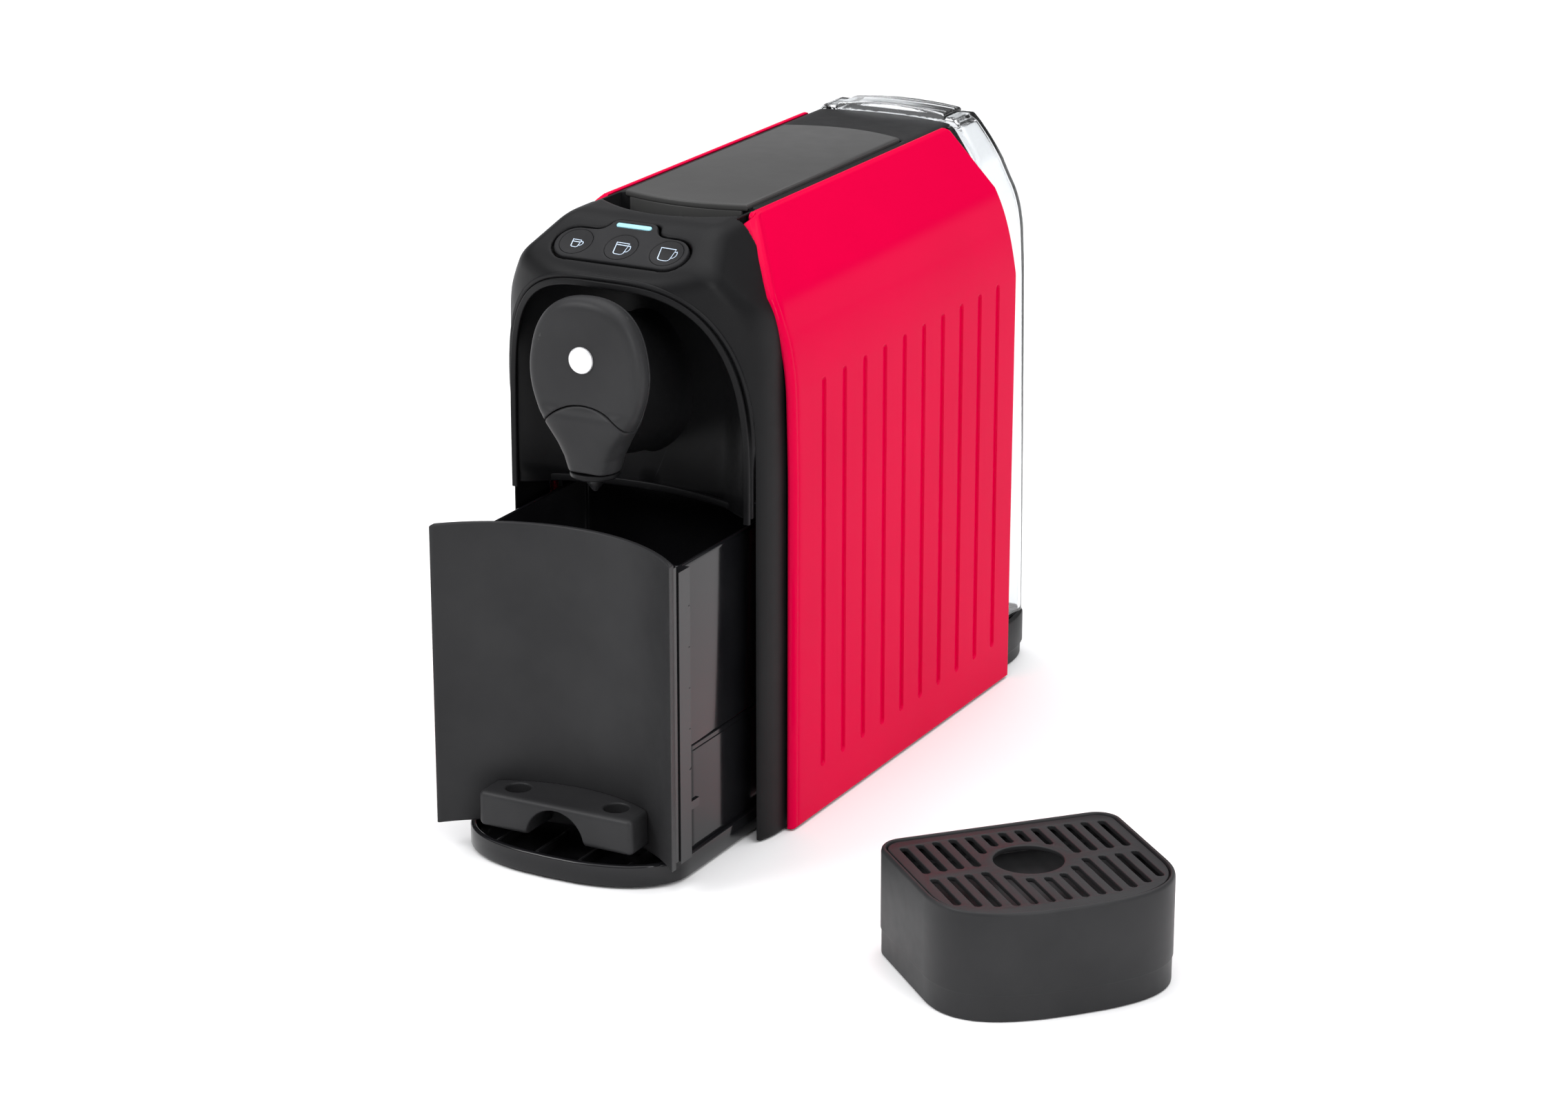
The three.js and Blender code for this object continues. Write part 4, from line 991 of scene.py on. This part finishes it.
# ---- drawer ----
def arc_band(radius_front, radius_back, half, steps=72):
    a = math.asin(half / radius_front)
    b = math.asin(half / radius_back)
    q = math.pi / 2
    return (arc(0, PANEL_CENTRE_Y, radius_front, q + a, q - a, steps)
            + arc(0, PANEL_CENTRE_Y, radius_back, q - b, q + b, steps))


def make_drawer():
    panel = stack("drawer_panel_fine", arc_band(PANEL_RADIUS, PANEL_RADIUS + 2.4, 55.0),
                  round_levels(11.6, 139.6, 0.7, 4), angle=50)
    finish_piece(panel, ["drawer_panel"], "drawer", MATERIALS["charcoal"])
    step = 0.4
    low, high = (-4 * step, -184, 12.5), (38, -158, 31)
    x, y, z = field_axes(low, high, step)
    outline = polygon_field(x, y, rounded_box(-36, 36, -182.5, -150, 2.5, 8))
    bar = smooth_max(outline, np.maximum(14 - z, z - 29.3), 3.0)
    bar = np.maximum(bar, np.sqrt(x * x + (y - PANEL_CENTRE_Y) ** 2) - 75.8)
    arch = np.sqrt(x * x + (z - 13.5) ** 2) - 13.3
    bar = smooth_max(bar, -arch, 0.8)
    pocket = np.maximum(np.sqrt((x - 23) ** 2 + (y + 172) ** 2) - 5.2, 22 - z)
    bar = smooth_max(bar, -pocket, 0.7)
    obj = mirror_x(skin_field("tray_bracket_fine", bar.astype(np.float32), low, step))
    finish_piece(obj, ["tray_bracket"], "drawer", MATERIALS["charcoal"])
    half = [(0, -189)] + quadratic((12, -188.6), (40, -186), (48.2, -169), 24)
    half += quadratic((49.2, -166.6), (50, -164), (50, -159), 8) + [(50, -74), (0, -74)]
    plinth = stack("drip_plinth", mirrored(half), [(0.9, 0.8), (0.25, 1.1), (0, 1.9), (0, 9.2), (0.2, 9.7), (0.7, 10),
                                                   (1.9, 10), (2.3, 9.7), (2.5, 9.2), (2.7, 3.6), (3.2, 3.2)])
    finish_piece(plinth, ["drip_base"], "drawer", MATERIALS["gloss_black"])
    for i, rx in enumerate((-30, -10, 10, 30)):
        rib = stack(f"plinth_rib_{i + 1}", rounded_box(rx - 0.8, rx + 0.8, -180, -157, 0.6, 3),
                    round_levels(3.1, 7, 0.4, 2))
        finish_piece(rib, [], "drawer", MATERIALS["gloss_black"])
    pan = stack("drip_pan", rounded_box(-47.8, 47.8, -156.4, -74, 4, 10),
                [(0.6, 3.0), (0, 3.6), (0, 51.6), (0.35, 52.0), (0.35, 53.6), (0.7, 54), (1.9, 54), (2.2, 53.6), (2.2, 4.4)])
    finish_piece(pan, [], "drawer", MATERIALS["gloss_black"])
    front = [(x, PANEL_CENTRE_Y + math.sqrt(81.2 ** 2 - x * x)) for x in np.linspace(-35, 35, 41)]
    outline = ([(-35.1, -163)] + front + [(35.1, -163)] + arc(47.8 - 3, -163 + 3, 3, -math.pi / 2, 0, 8)
               + arc(47.8 - 4, -74 - 4, 4, 0, math.pi / 2, 8) + arc(-47.8 + 4, -74 - 4, 4, math.pi / 2, math.pi, 8)
               + arc(-47.8 + 3, -163 + 3, 3, math.pi, 1.5 * math.pi, 8))
    bin_levels = [(0.8, 54.4), (0.2, 54.7), (0, 55.4), (0, 130.6), (0, 131.4), (0.3, 132.0), (0.8, 132.3),
                  (1.3, 132.3), (1.8, 132.0), (2.0, 131.4), (2.0, 57.0), (2.4, 56.5)]
    bin_obj = stack("capsule_container_fine", outline, bin_levels)
    finish_piece(bin_obj, ["capsule_container"], "drawer", MATERIALS["gloss_black"])


# ---- tank and dock ----
def tank_section():
    right = [(56, 18.3), (52.5, 180)] + quadratic((51.6, 200), (51, 215), (48.5, 224), 12)
    right += quadratic((46, 234.5), (42, 245), (33, 255.4), 12) + [(0, 255.4)]
    return mirrored(right)


def tank_front_y(x):
    return TANK_FRONT + TANK_BULGE * np.clip(1 - (np.abs(x) / 38) ** 2, 0, 1)


def tank_back_side():
    """Side view of the tank: upright at the back, then leaning forward over the top."""
    line = [(90, -5), (148, -5)] + quadratic((148, 188), (148, 212), (140.5, 226), 12)
    line += quadratic((137, 234), (134.2, 243), (133.2, 252), 8) + [(131.8, 258), (90, 258)]
    return line


def make_tank():
    step = 0.8
    low, high = (-4 * step, 108, 16), (58.5, 150, 258)
    x, y, z = field_axes(low, high, step)
    section = polygon_field(x, z, tank_section())
    plan = polygon_field(x, y, rounded_box(-56.4, 56.4, 60, 148, 9, 12))
    front = np.maximum(plan, tank_front_y(x) - y)
    profile = polygon_field(y, z, tank_back_side())
    shell = smooth_max(smooth_max(section, front, 2), profile, 3)
    inner = np.maximum(shell + 2.2, z - 251)
    tank = np.maximum(shell, -inner)
    tank = smooth_max(tank, -np.maximum(np.abs(x) - 26.8, 253.4 - z), 0.5)
    tank = smooth_max(tank, -np.maximum(np.maximum(np.abs(x) - 21, np.abs(y - 124) - 5.6), 240 - z), 0.5)
    tank = np.maximum(tank, -np.maximum(np.sqrt(x * x + (y - 131) ** 2) - 6.3, z - 30))
    obj = mirror_x(skin_field("water_tank_fine", tank.astype(np.float32), low, step, smooth_passes=2))
    finish_piece(obj, ["water_tank"], "tank", MATERIALS["clear"])
    step = 0.35
    low, high = (-4 * step, 110, 252), (28, 134, 260)
    x, y, z = field_axes(low, high, step)
    crown = z - 256.8 - 1.6 * (1 - (x / 25.4) ** 2)
    plan = np.maximum(np.maximum(np.abs(x) - 26.3, tank_front_y(x) + 0.4 - y), y - 131.4)
    cover = np.maximum(smooth_max(crown, plan, 1.2), 253.7 - z)
    obj = mirror_x(skin_field("tank_lid_fine", cover.astype(np.float32), low, step, smooth_passes=2))
    finish_piece(obj, ["tank_lid"], "tank_cover", MATERIALS["clear"])
    half = [(0, 110.3), (59.3, 110.3), (59, 124)] + quadratic((58.9, 128), (57.8, 149.4), (47, 149.4), 20)
    dock = stack("tank_dock_fine", mirrored(half + [(0, 149.4)]),
                 [(1.2, 0.3), (1.0, 0.8), (0.9, 5.6), (0.3, 6.4), (0, 6.9), (0, 20.0),
                  (0.3, 20.7), (1.0, 21.0), (2.6, 21.0), (2.9, 20.7), (3.0, 18.0)])
    finish_piece(dock, ["tank_dock"], "machine", MATERIALS["black"])


# ---- cup tray ----
def tray_outline(steps=24):
    half = [(0, -42)] + quadratic((12, -41.7), (24, -40.6), (31, -38), steps)
    half += quadratic((31, -38), (TRAY_HALF, -31), (TRAY_HALF, -11), steps)[1:]
    half += arc(TRAY_HALF - 10, 32, 10, 0, math.pi / 2, 12) + [(0, 42)]
    return mirrored(half)


def make_tray():
    body = stack("tray_body_fine", tray_outline(),
                 [(3.4, 31), (2.4, 31), (2.4, 0.4), (2.0, 0.1), (0.9, 0), (0.5, 0.4), (0.4, 1.0), (0.4, 10.2), (0.1, 10.8),
                  (0, 11.2), (0, 42.4), (0.25, 43.4), (0.7, 43.9), (1.1, 44), (1.7, 43.8), (2.0, 43.2), (2.0, 41.0),
                  (4.2, 41.0), (4.2, 34.5), (5.2, 33.4)], closed_bottom=False, to_world=tray_to_world, angle=35)
    under = stack("tray_ceiling", inset_loop_of(tray_outline(), 2.5), [(0, 31), (0, 31.6)], to_world=tray_to_world)
    finish_piece(body, ["tray_body"], "tray", MATERIALS["charcoal"])
    finish_piece(under, [], "tray", MATERIALS["charcoal"])
    curve = bpy.data.curves.new("grille_outline", "CURVE")
    curve.dimensions = "2D"
    curve.fill_mode = "BOTH"
    loops = [inset_loop_of(tray_outline(), 2.6), arc(0, HOLE_Y, 13.6, 0, 2 * math.pi * 63 / 64, 63)]
    for i in range(-6, 7):
        x = i * TRAY_PITCH
        lean = abs(x) / TRAY_HALF
        keep = math.sqrt(17.5 ** 2 - x * x) if abs(x) < 17.5 else 0
        rows = ((max(5.5, HOLE_Y + keep), 35 - 3.5 * lean ** 4),
                (-33 + 16 * lean ** 3.2, min(1.5, HOLE_Y - keep) if keep else 1.5))
        for low, high in rows:
            if high - low > 5:
                r = 1.55
                loops.append(arc(x, high - r, r, 0, math.pi, 8) + arc(x, low + r, r, math.pi, 2 * math.pi, 8))
    for loop in loops:
        loop = clean_loop(loop)
        spline = curve.splines.new("POLY")
        spline.points.add(len(loop) - 1)
        for point, (x, y) in zip(spline.points, loop):
            point.co = (x * MM, y * MM, 0, 1)
        spline.use_cyclic_u = True
    bevel = 0.4 * MM
    curve.extrude = 1.0 * MM - bevel
    curve.bevel_depth = bevel
    curve.bevel_resolution = 2
    curve.offset = -bevel
    holder = bpy.data.objects.new("grille_curve", curve)
    bpy.context.scene.collection.objects.link(holder)
    bpy.context.view_layer.update()
    mesh = bpy.data.meshes.new_from_object(holder.evaluated_get(bpy.context.evaluated_depsgraph_get()))
    bpy.data.objects.remove(holder)
    for vert in mesh.vertices:
        vert.co = Vector([c * MM for c in tray_to_world(vert.co.x / MM, vert.co.y / MM, 42.4 + vert.co.z / MM)])
    grille = bpy.data.objects.new("tray_grille_fine", mesh)
    bpy.context.scene.collection.objects.link(grille)
    bm = bmesh.new()
    bm.from_mesh(mesh)
    bmesh.ops.remove_doubles(bm, verts=bm.verts, dist=2e-6)
    bmesh.ops.recalc_face_normals(bm, faces=bm.faces)
    bm.to_mesh(mesh)
    bm.free()
    shade(grille, 50)
    finish_piece(grille, ["tray_grille"], "grille", MATERIALS["charcoal"])


def inset_loop_of(points, distance):
    base = clean_loop(points)
    area = sum(base[i - 1][0] * base[i][1] - base[i][0] * base[i - 1][1] for i in range(len(base)))
    return inset_loop(base if area > 0 else base[::-1], distance)


# ---- carried-over CAD nodes ----
def dress_frame():
    slot_of = {s["node"]: s["material_slot"] for s in frame["record"]["subparts"]}
    for name, obj in frame["nodes"].items():
        obj.data.materials.clear()
        obj.data.materials.append(MATERIALS[slot_of[name]])
        bevel = obj.modifiers.new("soft_edges", "BEVEL")
        bevel.width = 0.3 * MM
        bevel.segments = 2
        bevel.limit_method = "ANGLE"
        bevel.angle_limit = math.radians(40)
        bevel.use_clamp_overlap = True
        for poly in obj.data.polygons:
            poly.use_smooth = False


# ---- stage ----
def make_stage():
    bpy.ops.mesh.primitive_plane_add(size=14, location=(0, 0, -0.0002))
    floor = bpy.context.object
    floor.name = "floor"
    white = new_material("stage_white", (0.92, 0.92, 0.92), 0.6, Specular_IOR_Level=0.1)
    floor.data.materials.append(white)
    world = bpy.data.worlds.new("studio")
    world.use_nodes = True
    nodes, links = world.node_tree.nodes, world.node_tree.links
    coords = nodes.new("ShaderNodeTexCoord")
    split = nodes.new("ShaderNodeSeparateXYZ")
    ramp = nodes.new("ShaderNodeValToRGB")
    links.new(coords.outputs["Generated"], split.inputs["Vector"])
    links.new(split.outputs["Z"], ramp.inputs["Fac"])
    ramp.color_ramp.interpolation = "EASE"
    levels = ((0.0, 0.8), (0.10, 0.8), (0.20, 0.08), (0.45, 0.10), (0.62, 1.0), (1.0, 1.0))
    while len(ramp.color_ramp.elements) < len(levels):
        ramp.color_ramp.elements.new(0.5)
    for element, (place, level) in zip(ramp.color_ramp.elements, levels):
        element.position = place
        element.color = (level, level, level * 1.02, 1)
    links.new(ramp.outputs["Color"], nodes["Background"].inputs["Color"])
    nodes["Background"].inputs["Strength"].default_value = 1.35
    bpy.context.scene.world = world

    def area(name, place, target, size, power):
        light = bpy.data.lights.new(name, "AREA")
        light.shape = "RECTANGLE"
        light.size, light.size_y = size
        light.energy = power
        obj = bpy.data.objects.new(name, light)
        obj.location = place
        obj.rotation_euler = (Vector(target) - Vector(place)).to_track_quat("-Z", "Y").to_euler()
        bpy.context.scene.collection.objects.link(obj)

    area("key", (-0.9, -1.3, 1.3), (0, -0.1, 0.12), (0.9, 0.9), 16)
    area("top", (0.3, 0.1, 2.4), (0.1, -0.05, 0), (2.4, 2.0), 24)
    area("side", (1.3, -0.8, 0.75), (0.06, 0, 0.2), (0.6, 0.6), 7)
    bpy.context.scene.view_settings.view_transform = "Standard"


def make_camera():
    data = bpy.data.cameras.new("camera")
    data.sensor_width = 36
    data.lens = 92.38
    data.clip_end = 20
    camera = bpy.data.objects.new("camera", data)
    camera.location = (0.7865, -1.4576, 0.6413)
    camera.rotation_euler = (math.radians(71.242), 0, math.radians(28.133))
    bpy.context.scene.collection.objects.link(camera)
    bpy.context.scene.camera = camera


dress_frame()
make_housing()
pan = recess_pan()
finish_piece(pan, [], "machine", MATERIALS["black"])
make_side_panel("right_side_panel_fine", "right_side_panel", 1)
make_side_panel("left_side_panel_fine", "left_side_panel", -1)
make_niche()
make_arch_bead()
make_neck()
make_spout_head()
make_keypad()
make_lid()
make_drawer()
make_tank()
make_tray()
make_stage()
make_camera()
